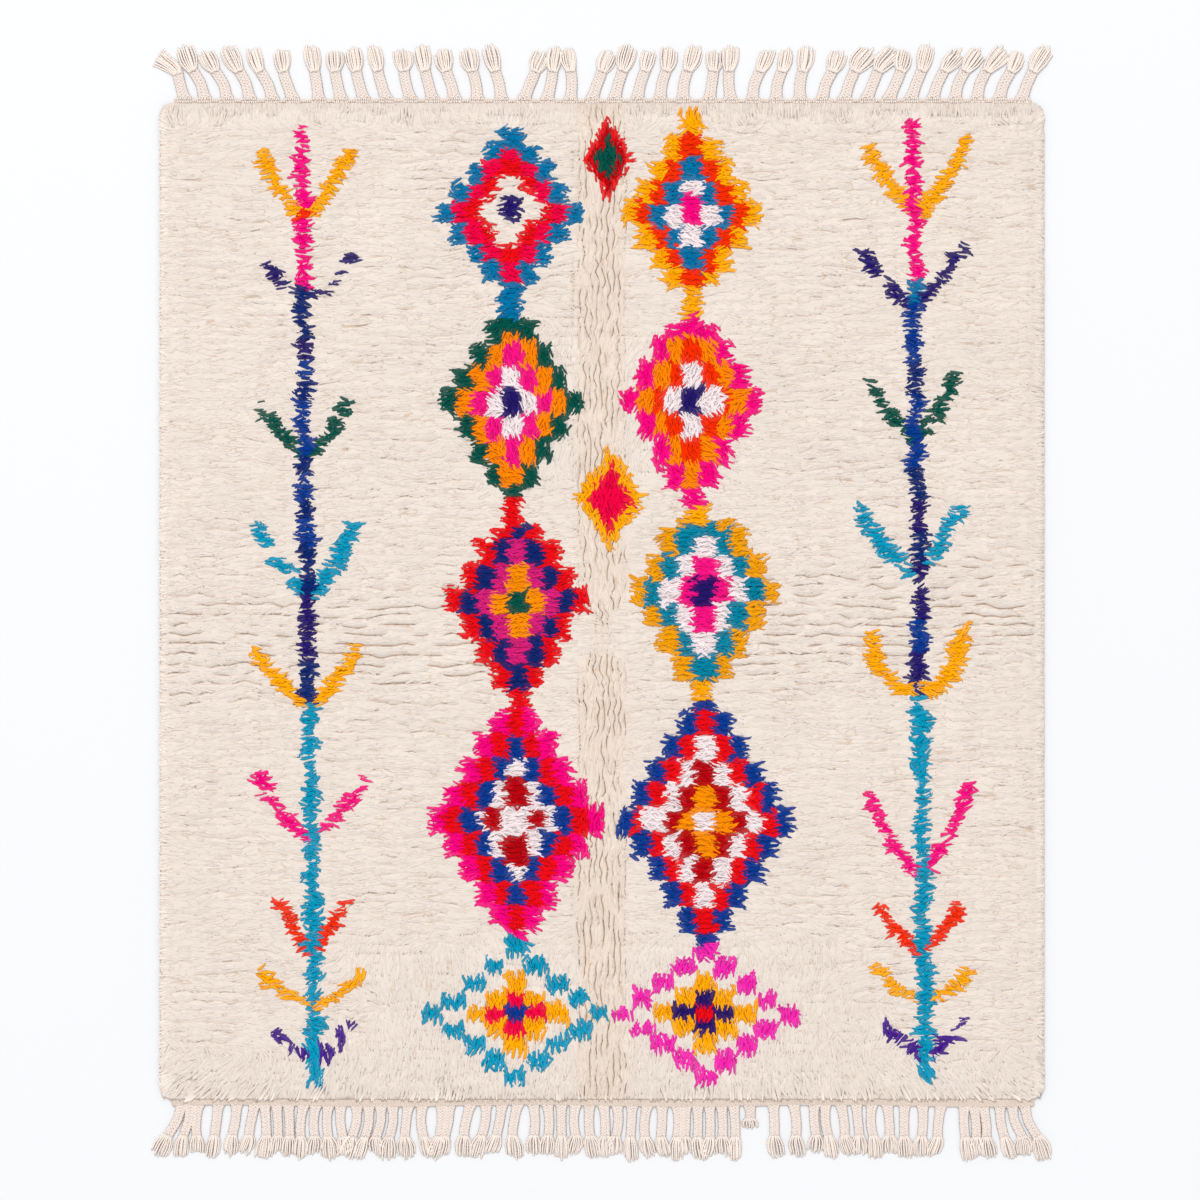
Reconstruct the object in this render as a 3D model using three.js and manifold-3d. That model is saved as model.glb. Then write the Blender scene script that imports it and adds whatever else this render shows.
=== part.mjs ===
// A hand-knotted long-pile rug with plaited fringes, lying flat with its pile up.
// Millimetres. X runs across the width, Y along the length and Z up from the floor.
// The origin is on the floor, under the middle of the whole rug with its fringes.

import * as THREE from "three";
import { mergeVertices } from "three/addons/utils/BufferGeometryUtils.js";
import Module from "manifold-3d";

const wasm = await Module();
wasm.setup();

// Gap that two touching pieces keep between them.
const CLEARANCE = 0.3;

// The knotted field: ground cloth and pile together.
const FIELD = {
  width: 1500,
  top: 851,
  bottom: -847,
  thickness: 24,
  edgeHeight: 13,
  softEdge: 34,
  cornerRadius: 30,
  footInset: 3,
};

// How finely the field's box is divided.
const FIELD_STEPS = { across: 20, along: 22, up: 3 };

// Slow waves of the two long edges, as a knotted edge has.
const EDGE_WAVES = [
  { length: 610, height: 1.8, phase: 0.4 },
  { length: 233, height: 1.1, phase: 2.1 },
];

// Shallow hollows where the pile parts, one across the rug and one along its middle.
const PARTINGS = [
  { axis: "y", at: -65, halfWidth: 90, depth: 2.2 },
  { axis: "x", at: 8, halfWidth: 60, depth: 1.6 },
];

// The flat-woven band that each comb hangs from.
const TOP_BAND = { halfLength: 731, width: 8, height: 6, waveHeight: 0.6, waveLength: 420 };
const BOTTOM_BAND = { halfLength: 735, width: 13, height: 6, waveHeight: 1.6, waveLength: 510 };
const BAND_STEPS = 12;

// One braid: a flat plait that ends in a spread tuft. Reach is measured from the band's outer edge.
const TOP_BRAID = { width: 19, height: 8, neck: 49, reach: 86, tuftWidth: 31, tuftHeight: 5 };
const BOTTOM_BRAID = { width: 17, height: 8, neck: 53, reach: 86, tuftWidth: 27, tuftHeight: 5 };

// Bunches of braids along the top end. The first braid's place, the spacing, and how far
// the tips of the first and the last braid lie to the right of their roots.
const TOP_BUNCHES = [
  { braids: 2, first: -714, spacing: 34, leanFirst: -41, leanLast: -39 },
  { braids: 3, first: -642, spacing: 39, leanFirst: -34, leanLast: -37 },
  { braids: 1, first: -529, spacing: 0, leanFirst: -24, leanLast: -24 },
  { braids: 4, first: -485, spacing: 38.5, leanFirst: -12, leanLast: -21 },
  { braids: 3, first: -328, spacing: 37.5, leanFirst: -15, leanLast: -24 },
  { braids: 2, first: -214, spacing: 41, leanFirst: -15, leanLast: -20 },
  { braids: 3, first: -134, spacing: 39.5, leanFirst: 29, leanLast: -2 },
  { braids: 5, first: -18, spacing: 39, leanFirst: 26, leanLast: 17 },
  { braids: 2, first: 183, spacing: 36, leanFirst: 10, leanLast: -2 },
  { braids: 3, first: 257, spacing: 40.5, leanFirst: 24, leanLast: 12 },
  { braids: 10, first: 376, spacing: 37.8, leanFirst: 29, leanLast: 33 },
];

// The same along the bottom end, where the braids lie closer. One bunch is cut short.
const BOTTOM_BUNCHES = [
  { braids: 3, first: -719, spacing: 14.5, leanFirst: -38, leanLast: -4 },
  { braids: 3, first: -656, spacing: 31, leanFirst: -10, leanLast: -14 },
  { braids: 3, first: -577, spacing: 20.5, leanFirst: 4, leanLast: 2 },
  { braids: 4, first: -511, spacing: 21.3, leanFirst: -5, leanLast: 7 },
  { braids: 4, first: -420, spacing: 20.5, leanFirst: -14, leanLast: -12 },
  { braids: 2, first: -332, spacing: 24, leanFirst: -8, leanLast: 5 },
  { braids: 2, first: -275, spacing: 13.6, leanFirst: -7, leanLast: -12 },
  { braids: 4, first: -226, spacing: 27, leanFirst: -15, leanLast: -12 },
  { braids: 6, first: -118, spacing: 24, leanFirst: 0, leanLast: 3 },
  { braids: 5, first: 25, spacing: 25.6, leanFirst: -5, leanLast: -3 },
  { braids: 5, first: 142, spacing: 20.5, leanFirst: -2, leanLast: 3 },
  { braids: 1, first: 251, spacing: 0, leanFirst: 0, leanLast: 0, reachShare: 0.45 },
  { braids: 3, first: 292, spacing: 35, leanFirst: 2, leanLast: 5 },
  { braids: 5, first: 381, spacing: 26.4, leanFirst: 9, leanLast: 5 },
  { braids: 3, first: 516, spacing: 31, leanFirst: 0, leanLast: -7 },
  { braids: 3, first: 618, spacing: 16.2, leanFirst: 5, leanLast: 6 },
  { braids: 3, first: 679, spacing: 21.3, leanFirst: 14, leanLast: 38 },
];

// Share of a braid's lean that its neck has, and how far a tip may stand out or stay back.
const NECK_LEAN_SHARE = 0.6;
const REACH_UNEVENNESS = 5;

const WOOL_CREAM = new THREE.MeshStandardMaterial({ color: 0xefe6d6, roughness: 0.95, metalness: 0 });
const COTTON_BEIGE = new THREE.MeshStandardMaterial({ color: 0xe4d3c6, roughness: 0.9, metalness: 0 });

// 0 at the edge and 1 from the given distance inward, with a round shoulder.
function shoulder(distance, width) {
  const t = THREE.MathUtils.clamp(distance / width, 0, 1);
  return Math.sqrt(1 - (1 - t) * (1 - t));
}

// Sideways wave of a long edge at a place along it.
function edgeWave(y) {
  return EDGE_WAVES.reduce((sum, wave) => {
    return sum + wave.height * Math.sin((2 * Math.PI * y) / wave.length + wave.phase);
  }, 0);
}

// Depth of the partings in the pile at one point.
function partingDepth(x, y) {
  return PARTINGS.reduce((sum, parting) => {
    const across = parting.axis === "x" ? x - parting.at : y - parting.at;
    const t = Math.min(Math.abs(across) / parting.halfWidth, 1);
    return sum + parting.depth * 0.5 * (1 + Math.cos(Math.PI * t));
  }, 0);
}

// Pulls a point near a corner of the outline onto a round corner.
function roundCorner(x, y, halfWidth, halfLength) {
  const radius = FIELD.cornerRadius;
  const dx = Math.abs(x) - (halfWidth - radius);
  const dy = Math.abs(y) - (halfLength - radius);
  if (dx <= 0 || dy <= 0) {
    return [x, y];
  }
  const scale = Math.max(dx, dy) / Math.hypot(dx, dy);
  return [
    Math.sign(x) * (halfWidth - radius + dx * scale),
    Math.sign(y) * (halfLength - radius + dy * scale),
  ];
}

// The field starts as a finely divided box. Each vertex is moved to its place on the rug.
function makeField() {
  const { across, along, up } = FIELD_STEPS;
  const geometry = new THREE.BoxGeometry(2, 2, 1, across, along, up);
  const position = geometry.attributes.position;
  const halfWidth = FIELD.width / 2;
  const halfLength = (FIELD.top - FIELD.bottom) / 2;
  const middle = (FIELD.top + FIELD.bottom) / 2;
  for (let i = 0; i < position.count; i += 1) {
    const level = position.getZ(i) + 0.5;
    // Steps get shorter toward the edges, where the shoulder needs them.
    const flatX = halfWidth * Math.sin((position.getX(i) * Math.PI) / 2);
    const flatY = halfLength * Math.sin((position.getY(i) * Math.PI) / 2);
    const [roundX, roundY] = roundCorner(flatX, flatY, halfWidth, halfLength);
    const fromEdge = Math.min(halfWidth - Math.abs(flatX), halfLength - Math.abs(flatY));
    const rise = shoulder(fromEdge, FIELD.softEdge);
    const topHeight = FIELD.edgeHeight + (FIELD.thickness - FIELD.edgeHeight) * rise;
    const height = level * (topHeight - rise * partingDepth(roundX, roundY + middle));
    // The long sides stand in a little at the floor. The two ends stay upright for the bands.
    const foot = 1 - (FIELD.footInset / halfWidth) * (1 - Math.min(3 * level, 1));
    const wave = edgeWave(roundY) * (roundX / halfWidth) ** 2;
    position.setXYZ(i, roundX * foot + wave, roundY + middle, height);
  }
  return geometry;
}

// A closed solid through sections that all have the same number of corners.
// Each section's corners run clockwise, seen along the way the sections follow each other.
function loft(sections) {
  const corners = sections[0].length;
  const positions = sections.flat().flatMap((point) => [point.x, point.y, point.z]);
  const index = [];
  for (let s = 0; s + 1 < sections.length; s += 1) {
    for (let c = 0; c < corners; c += 1) {
      const here = s * corners + c;
      const beside = s * corners + ((c + 1) % corners);
      index.push(here, beside, beside + corners, here, beside + corners, here + corners);
    }
  }
  const last = (sections.length - 1) * corners;
  for (let c = 1; c + 1 < corners; c += 1) {
    index.push(0, c + 1, c);
    index.push(last, last + c, last + c + 1);
  }
  const geometry = new THREE.BufferGeometry();
  geometry.setAttribute("position", new THREE.Float32BufferAttribute(positions, 3));
  geometry.setIndex(index);
  return geometry;
}

// Six corners of a flat plait that lies on the floor, seen along its length.
// The direction is the unit vector along which the plait runs.
function plaitSection(centre, direction, width, height) {
  const side = new THREE.Vector2(direction.y, -direction.x);
  const outline = [
    [-0.5, 0.45],
    [-0.34, 1],
    [0.34, 1],
    [0.5, 0.45],
    [0.36, 0],
    [-0.36, 0],
  ];
  return outline.map(([across, up]) => {
    return new THREE.Vector3(
      centre.x + side.x * across * width,
      centre.y + side.y * across * width,
      up * height,
    );
  });
}

// One braid from its root inside the band to the end of its tuft. Outward is 1 at the top end.
function makeBraid(root, lean, reach, braid, outward) {
  const neckShare = braid.neck / braid.reach;
  const stations = [
    { out: -3, lean: 0, width: braid.width, height: braid.height * 0.9 },
    { out: reach * neckShare * 0.5, lean: 0.38 * NECK_LEAN_SHARE, width: braid.width, height: braid.height },
    { out: reach * neckShare, lean: NECK_LEAN_SHARE, width: braid.width, height: braid.height },
    { out: reach, lean: 1, width: braid.tuftWidth, height: braid.tuftHeight },
  ];
  const centres = stations.map((station) => {
    return new THREE.Vector2(root.x + lean * station.lean, root.y + outward * station.out);
  });
  const sections = stations.map((station, i) => {
    const before = centres[Math.max(i - 1, 0)];
    const after = centres[Math.min(i + 1, centres.length - 1)];
    const direction = after.clone().sub(before).normalize();
    return plaitSection(centres[i], direction, station.width, station.height);
  });
  return loft(sections);
}

// The woven band, straight along the field and slightly wavy along the fringe.
function makeBand(band, innerY, outward) {
  const sections = [];
  for (let s = 0; s <= BAND_STEPS; s += 1) {
    const x = band.halfLength * ((2 * s) / BAND_STEPS - 1);
    const outerY = innerY + outward * bandWidthAt(band, x);
    const corners = [
      [innerY, 0],
      [innerY, band.height],
      [outerY - outward * 2, band.height],
      [outerY, band.height * 0.5],
      [outerY - outward, 0],
    ];
    const section = corners.map(([y, z]) => new THREE.Vector3(x, y, z));
    sections.push(outward > 0 ? section.reverse() : section);
  }
  return loft(sections);
}

function bandWidthAt(band, x) {
  return band.width + band.waveHeight * Math.sin((2 * Math.PI * x) / band.waveLength);
}

// The braids of one end, with their places and leans worked out from its bunches.
function listBraids(bunches) {
  return bunches.flatMap((bunch) => {
    return Array.from({ length: bunch.braids }, (_, i) => {
      const share = bunch.braids > 1 ? i / (bunch.braids - 1) : 0;
      return {
        x: bunch.first + bunch.spacing * i,
        lean: THREE.MathUtils.lerp(bunch.leanFirst, bunch.leanLast, share),
        reachShare: bunch.reachShare ?? 1,
      };
    });
  });
}

function toManifold(geometry) {
  const bare = geometry.clone();
  bare.deleteAttribute("normal");
  bare.deleteAttribute("uv");
  const merged = mergeVertices(bare, 1e-4);
  const mesh = new wasm.Mesh({
    numProp: 3,
    vertProperties: new Float32Array(merged.attributes.position.array),
    triVerts: new Uint32Array(merged.index.array),
  });
  return new wasm.Manifold(mesh);
}

function toGeometry(solid) {
  const mesh = solid.getMesh();
  const geometry = new THREE.BufferGeometry();
  geometry.setAttribute("position", new THREE.BufferAttribute(mesh.vertProperties, 3));
  geometry.setIndex(new THREE.BufferAttribute(mesh.triVerts, 1));
  geometry.computeVertexNormals();
  return geometry;
}

// A comb: the band with all its braids joined into one solid.
function makeComb(band, braid, bunches, fieldEdge, outward) {
  const innerY = fieldEdge + outward * CLEARANCE;
  let comb = toManifold(makeBand(band, innerY, outward));
  listBraids(bunches).forEach((item, i) => {
    const root = { x: item.x, y: innerY + outward * bandWidthAt(band, item.x) };
    const uneven = REACH_UNEVENNESS * Math.sin(2.4 * i);
    const reach = (braid.reach + uneven) * item.reachShare;
    comb = comb.add(toManifold(makeBraid(root, item.lean, reach, braid, outward)));
  });
  return toGeometry(comb);
}

function makePiece(name, geometry, material) {
  const mesh = new THREE.Mesh(geometry, material);
  mesh.name = name;
  return mesh;
}

// Moves every piece so that the origin lies under the middle of the whole rug.
function centreOnOrigin(group) {
  const box = new THREE.Box3().setFromObject(group, true);
  const middle = box.getCenter(new THREE.Vector3());
  group.children.forEach((mesh) => mesh.position.set(-middle.x, -middle.y, -box.min.z));
}

const rug = new THREE.Group();
rug.add(
  makePiece("rug_pile", makeField(), WOOL_CREAM),
  makePiece("fringe_top", makeComb(TOP_BAND, TOP_BRAID, TOP_BUNCHES, FIELD.top, 1), COTTON_BEIGE),
  makePiece(
    "fringe_bottom",
    makeComb(BOTTOM_BAND, BOTTOM_BRAID, BOTTOM_BUNCHES, FIELD.bottom, -1),
    COTTON_BEIGE,
  ),
);
centreOnOrigin(rug);

export default rug;
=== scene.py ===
"""A hand-knotted long-pile rug with plaited fringes, seen from straight above.

Metres. X runs across the width, Y along the length and Z up from the floor.
"""
import math
import types

import bpy
import numpy as np
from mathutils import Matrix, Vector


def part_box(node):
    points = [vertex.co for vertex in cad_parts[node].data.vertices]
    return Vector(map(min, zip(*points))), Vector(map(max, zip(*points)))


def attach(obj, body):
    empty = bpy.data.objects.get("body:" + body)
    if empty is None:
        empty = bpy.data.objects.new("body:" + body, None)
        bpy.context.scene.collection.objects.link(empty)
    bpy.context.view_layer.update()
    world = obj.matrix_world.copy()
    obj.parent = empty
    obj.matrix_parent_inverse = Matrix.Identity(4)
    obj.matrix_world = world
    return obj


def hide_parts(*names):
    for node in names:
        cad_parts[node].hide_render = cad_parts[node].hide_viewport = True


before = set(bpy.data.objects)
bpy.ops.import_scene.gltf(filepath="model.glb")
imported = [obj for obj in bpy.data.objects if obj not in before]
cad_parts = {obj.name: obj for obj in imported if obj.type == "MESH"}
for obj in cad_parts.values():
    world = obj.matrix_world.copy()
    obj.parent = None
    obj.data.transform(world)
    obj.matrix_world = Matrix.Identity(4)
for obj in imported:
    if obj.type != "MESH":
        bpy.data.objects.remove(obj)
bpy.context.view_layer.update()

# Seeds of the random draws.
GRAIN_SEED = 51
WISP_SEED = 41
FRINGE_SEED = 71

# The photograph's scale, and the pixel of it that lies over the frame's origin.
METRES_PER_PIXEL = 0.001705
ORIGIN_PIXEL_X = 602.5
ORIGIN_PIXEL_Y = 602.5
PHOTO_SIZE = 1200

FIELD_LOW, FIELD_HIGH = (np.array(corner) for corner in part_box("rug_pile"))

# The ground cloth that holds the knots.
CLOTH_THICKNESS = 0.004
CLOTH_COLUMNS = 168
CLOTH_FIBRE_UNIT = 0.009
# How far inside the field its low and high corners are.
CLOTH_INSETS = ((0.006, 0.001), (0.003, 0.001))

# Knots stand in rows. The fleece has grid lines at these shares of each row, the first in
# the crease below it. The middle strip has furrows instead of rows.
ROW_COUNT = 103
ROW_PITCH = (FIELD_HIGH[1] - FIELD_LOW[1]) / ROW_COUNT
ROW_SHARES = (0.0, 0.12, 0.50, 0.88)
SIDE_COLUMNS = 95
BAND_MIDDLE = 602
BAND_HALF_WIDTH = 31
FURROW_PITCH = 0.0098
FURROW_HALF_COUNT = 5
FURROW_WAVE = 0.040
FURROW_START = (BAND_MIDDLE - ORIGIN_PIXEL_X) * METRES_PER_PIXEL - FURROW_HALF_COUNT * FURROW_PITCH
CORNER_RADIUS = 0.020

# Heights of the pile: full, at the side edges and at both ends, where it runs down to the bands.
PILE_FULL = 0.0178
PILE_AT_SIDES = 0.0088
PILE_AT_ENDS = 0.0066
# The fleece's walls. Columns: share of the edge's height, how far out they stand at the sides.
FLEECE_WALL = ((0.68, 0.0008), (0.27, -0.004))

# Wisps of wool over the fleece, with an extra set that hangs down at the long sides.
# Columns: spacing, share kept, share kept near the ends, dyed.
WISP_SETS = ((0.0066, 0.37, 0.65, False), (0.0062, 0.0, 0.0, False), (0.0046, 1.0, 1.0, True))
WISP_PIECES = 4
# Wisps of dyed wool gather in knots about this far apart.
KNOT_PITCH = 0.0085
# Stations of a wisp. Columns: share of its length, rise over the fleece, scale of its width.
WISP_STATIONS = ((-0.5, -0.0022, 0), (-0.26, 1, 1.0), (0.30, 1, 0.9), (0.5, -0.0002, 0))

# One turn of the fibre texture, in metres.
FIBRE_UNIT = 0.010

# Colours of the wool, in sRGB.
WOOL = {
    "cream": (0.89, 0.84, 0.80),
    "white": (0.92, 0.86, 0.865),
    "sky": (0.0, 0.44, 0.63),
    "teal": (0.0, 0.50, 0.61),
    "turquoise": (0.0, 0.575, 0.71),
    "royal": (0.02, 0.22, 0.55),
    "navy": (0.04, 0.15, 0.42),
    "indigo": (0.14, 0.08, 0.40),
    "purple": (0.27, 0.09, 0.53),
    "green": (0.0, 0.31, 0.265),
    "yellow": (1.0, 0.65, 0.0),
    "amber": (0.95, 0.55, 0.0),
    "gold": (0.91, 0.61, 0.0),
    "orange": (0.97, 0.515, 0.0),
    "vermilion": (0.93, 0.17, 0.0),
    "red": (0.89, 0.03, 0.07),
    "deep_red": (0.71, 0.0, 0.05),
    "crimson": (0.92, 0.0, 0.26),
    "pink": (0.95, 0.0, 0.49),
    "magenta": (0.94, 0.06, 0.50),
    "orchid": (0.92, 0.14, 0.66),
    "plum": (0.82, 0.12, 0.46),
}
WOOL_NAMES = list(WOOL)
PLAIT_BEIGE = (0.935, 0.88, 0.845)
# The tufts' and stitches' cotton: a lighter copy of the plaits' beige, painted light against the shade in
# their strings.
TUFT_BEIGE = (0.98, 0.925, 0.885)
BAND_BEIGE = (0.89, 0.82, 0.765)

# The fringe. Its yarn's twist repeats about once in this length.
YARN_UNIT = 0.005
# Yarn lengths that the twist is laid out for.
PLAIT_YARN = 0.06
TUFT_YARN = 0.035
STITCH_YARN = 0.006
# How far both end bands reach in under the pile.
BAND_TUCK = 0.0020
# How high a strand's tips stand over its middle line, as a share of its thickness.
TIP_LIFT = 0.3
TOP_BAND = {
    "half_length": 0.731, "width": 0.0103, "height": 0.006, "cords": 2, "wave": 0.0006, "wave_length": 0.42,
}
BOTTOM_BAND = {
    "half_length": 0.735, "width": 0.0153, "height": 0.006, "cords": 4, "wave": 0.0016, "wave_length": 0.51,
}

# A braid is a flat plait that ends in a spread tuft of strings in two layers. Swept says how far
# aside the tufts of single braids lie, by the braid's number.
PLAIT_STRANDS = 5
TOP_BRAID = {
    "stitches": 7, "neck": 0.049, "reach": 0.086, "half_width": 0.0070, "period": 0.026, "strand": 0.0057,
    "tuft_half_width": 0.0175, "skew": 0.004, "strings": (8, 7), "string": 0.0036,
    "swept": {0: -0.032, 29: 0.012, 30: 0.014, 33: 0.010, 34: 0.012, 35: 0.012, 37: 0.006},
}
BOTTOM_BRAID = {
    "stitches": 0, "neck": 0.053, "reach": 0.086, "half_width": 0.0062, "period": 0.025, "strand": 0.0053,
    "tuft_half_width": 0.0170, "skew": 0.008, "strings": (7, 6), "string": 0.0034, "swept": {},
}
# Shares of a tuft string's length where it has its sections. The last is its cut end.
STRING_STATIONS = (0.0, 0.10, 0.32, 0.55, 0.78, 0.97, 1.0)
# How unevenly long the braids are, and how far their middles bow aside up to a share of the reach.
REACH_UNEVENNESS = 0.005
BRAID_BOW = 0.0035
BOW_END = 0.7
# Shares of a braid's reach, and of its lean there.
LEAN_TABLE = ((-0.1, 0.0, 0.285, 0.57, 1.0), (0.0, 0.0, 0.228, 0.6, 1.0))

# Bunches of braids. Columns: braids, first braid's x, spacing, lean of the first and of the
# last braid, share of the full reach.
TOP_BUNCHES = (
    (1, -0.714, 0, -0.016, -0.016, 0.9),
    (1, -0.680, 0, -0.039, -0.039, 1),
    (3, -0.642, 0.039, -0.034, -0.037, 1),
    (1, -0.529, 0, -0.024, -0.024, 1),
    (4, -0.485, 0.0385, -0.012, -0.021, 1),
    (3, -0.328, 0.0375, -0.015, -0.024, 1),
    (2, -0.214, 0.041, -0.015, -0.020, 1),
    (3, -0.134, 0.0395, 0.029, -0.002, 1),
    (5, -0.018, 0.039, 0.026, 0.017, 1),
    (2, 0.183, 0.036, 0.010, -0.002, 1),
    (3, 0.257, 0.0405, 0.024, 0.012, 1),
    (10, 0.376, 0.0378, 0.029, 0.033, 1),
)
BOTTOM_BUNCHES = (
    (3, -0.719, 0.0145, -0.038, -0.004, 1),
    (3, -0.656, 0.031, -0.010, -0.014, 1),
    (3, -0.577, 0.0205, 0.004, 0.002, 1),
    (4, -0.511, 0.0213, -0.005, 0.007, 1),
    (4, -0.420, 0.0205, -0.014, -0.012, 1),
    (2, -0.332, 0.024, -0.008, 0.005, 1),
    (2, -0.275, 0.0136, -0.007, -0.012, 1),
    (4, -0.226, 0.027, -0.015, -0.012, 1),
    (6, -0.118, 0.024, 0.0, 0.003, 1),
    (5, 0.025, 0.0256, -0.005, -0.003, 1),
    (5, 0.142, 0.0205, -0.002, 0.003, 1),
    (1, 0.251, 0, 0.0, 0.0, 0.45),
    (3, 0.292, 0.035, 0.002, 0.005, 1),
    (5, 0.381, 0.0264, 0.009, 0.005, 1),
    (3, 0.516, 0.031, 0.0, -0.007, 1),
    (3, 0.618, 0.0162, 0.005, 0.006, 1),
    (3, 0.679, 0.0213, 0.014, 0.038, 1),
)

# Stepped lozenges, in the photograph's pixels. A lozenge is a stack of rows of blocks.
# Half widths grow by one step from the tip row to the middle row, and each ring is one step wide,
# from the outside in. The last colour fills the middle. Dabs is how much of a row's height the
# blocks of the outer ring take up. Columns: x, y, steps, step, half width of the tip, row, reach
# up, reach down, dabs, rings.
LOZENGES = (
    (510, 211.7, 4, 15.5, 11, 20.5, 87, 84, 1, "sky crimson red cream cream"),
    (512, 403, 4, 15.4, 9, 24, 85, 97, 1, "green orange magenta white indigo"),
    (518, 601, 4, 15.4, 9.5, 25, 76, 91, 1, "red navy plum amber green"),
    (516, 820, 5, 15.5, 8, 24.6, 116, 119, 1, "pink red royal white"),
    (516, 1013, 4, 20.7, 10.5, 15.5, 70, 70, 0.8, "turquoise cream yellow crimson navy"),
    (692, 214, 4, 14.4, 11, 22.5, 105, 72, 1, "yellow vermilion sky white pink"),
    (692, 400, 4, 14.9, 9.5, 25, 77, 103, 1, "pink orange vermilion white indigo"),
    (704, 592, 4, 15.4, 11.5, 25.5, 73, 95, 1, "gold teal white magenta indigo"),
    (705, 821.5, 5, 15.5, 9.5, 24.3, 121, 121, 1, "royal red white deep_red amber white"),
    (705, 1013, 4, 20.7, 10.5, 15.5, 70, 70, 0.8, "orchid cream yellow indigo red"),
    (608, 159, 4, 5.2, 4, 8.8, 41, 40, 1, "red deep_red green"),
    (609.3, 498, 5, 6.3, 3.3, 9, 50, 50, 1, "yellow yellow crimson"),
)

# Blocks that join the lozenges, and patches inside them, in the photograph's pixels.
# Columns: x, y, half width, half height, wool.
BLOCKS = (
    (514, 199, 20, 6, "cream"), (510, 211, 31, 8, "cream"), (508, 224, 17, 7, "cream"),
    (507, 238, 11, 10, "cream"), (511, 210, 8, 9, "indigo"), (510, 303, 12, 17, "sky"),
    (513, 512, 10, 15, "red"), (520, 699, 9, 9, "red"), (517, 945, 10, 6, "turquoise"),
    (692, 302, 8.5, 16, "yellow"), (697, 500, 8, 8, "pink"), (698, 514, 9, 9, "yellow"),
    (702, 693, 9, 8, "yellow"), (707, 950, 9, 9, "orchid"), (692, 207, 11, 16, "pink"),
    (517, 793, 10, 15, "deep_red"), (517, 851, 13, 15, "deep_red"), (494, 818, 9, 11, "deep_red"),
    (536, 821, 9, 11, "deep_red"), (305, 213, 8, 4, "vermilion"), (511, 141, 12, 7, "sky"),
    (511, 325, 12, 6, "green"), (690, 281, 8, 8, "vermilion"), (692, 327, 13, 7, "pink"),
    (692, 318, 6, 6, "pink"), (516, 1012, 11, 10, "royal"), (705, 1012, 9.5, 10, "red"),
    (668, 401, 6, 9, "white"), (720, 401, 5, 9, "white"), (703, 530, 14, 7, "teal"),
    (646, 821, 5, 11, "white"),
)

# The stems of the two branches, in the photograph's pixels. Columns: x at the top, x at the
# bottom, top, and stretches with where they end and their wool.
STEMS = (
    (301, 314, 124, (
        (285, "pink"), (337, "navy"), (359, "indigo"), (378, "royal"), (400, "navy"), (458, "royal"),
        (474, "navy"), (500, "royal"), (520, "navy"), (545, "royal"), (592, "navy"), (662, "indigo"),
        (706, "navy"), (1085, "turquoise"),
    )),
    (912, 925, 122, (
        (282, "pink"), (300, "sky"), (360, "royal"), (398, "navy"), (470, "royal"), (502, "navy"),
        (532, "indigo"), (560, "navy"), (617, "indigo"), (650, "royal"), (681, "indigo"), (696, "navy"),
        (1085, "turquoise"),
    )),
)
STEM_HALF_WIDTH = 6.0
STEM_TOP = 124
STEM_BOTTOM = 1085

# Twigs that open upward from a stem, in the photograph's pixels. Gaps is how far they break up.
# Curve is 1 for straight twigs. Columns: x and y of the fork, of the left tip and of the right
# tip, curve, half width, gaps, wool.
TWIGS = (
    (302, 214, 264, 158, 349, 156, 1.35, 5.2, 0.0, "yellow"),
    (304, 302, 263, 260, 353, 258, 1.35, 4.8, 0.9, "indigo"),
    (308, 458, 267, 409, 346, 407, 1.35, 5.8, 0.6, "green"),
    (309, 594, 260, 532, 351, 533, 1.35, 6.4, 0.3, "turquoise"),
    (310, 706, 258, 654, 356, 652, 1.35, 6.4, 0.1, "yellow"),
    (311, 838, 262, 782, 363, 782, 1.35, 5.0, 0.5, "pink"),
    (311, 950, 281, 909, 343, 909, 1.35, 5.4, 0.2, "vermilion"),
    (311, 1005, 262, 976, 362, 976, 1.5, 5.0, 0.6, "yellow"),
    (313, 1056, 277, 1034, 349, 1029, 1.35, 5.0, 0.6, "purple"),
    (917, 214, 869, 150, 965, 143, 1.35, 5.8, 0.0, "yellow"),
    (913, 306, 861, 253, 962, 249, 1.35, 4.4, 0.35, "indigo"),
    (913, 440, 873, 388, 951, 383, 1.35, 5.4, 0.3, "green"),
    (913, 572, 864, 512, 959, 510, 1.5, 6.2, 0.3, "turquoise"),
    (918, 693, 871, 641, 961, 637, 2.6, 7.2, 0.1, "yellow"),
    (920, 877, 869, 796, 969, 789, 1.35, 5.2, 0.2, "pink"),
    (920, 948, 881, 909, 957, 910, 1.5, 5.6, 0.1, "vermilion"),
    (922, 1003, 880, 971, 965, 976, 1.35, 5.2, 0.4, "yellow"),
    (922, 1053, 888, 1030, 962, 1027, 1.35, 5.2, 0.5, "purple"),
)

# Where the pile lies toward the bottom end and not sideways, in the photograph's pixels.
LIE_ZONES = [
    {"x": 605, "y": 400, "half_width": 150, "half_height": 100, "share": 0.8},
    {"x": 610, "y": 1010, "half_width": 330, "half_height": 90, "share": 1.0},
]

# How far the knots stray from the pattern, in pixels. Columns: amount, cell, seed of the noise.
STRAY_ACROSS = ((2.6, 15, 8), (2.2, 5.5, 9))
STRAY_ALONG = ((3.0, 15, 10), (2.4, 6, 15))
# How far a stem strays sideways, and how its half width varies.
STEM_STRAY = ((2.6, 12, 5),)
STEM_SWELL = ((2.6, 7, 6),)
TWIG_SWELL = ((2.2, 11, 7),)
# How flat a twig's tip ends: 0 leaves it round, and 1 cuts it off.
TIP_FLATNESS = 0.7


def to_linear(colour):
    """Linear colour of an sRGB one."""
    value = np.asarray(colour, dtype=float)
    return np.where(value <= 0.04045, value / 12.92, ((value + 0.055) / 1.055) ** 2.4)


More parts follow.
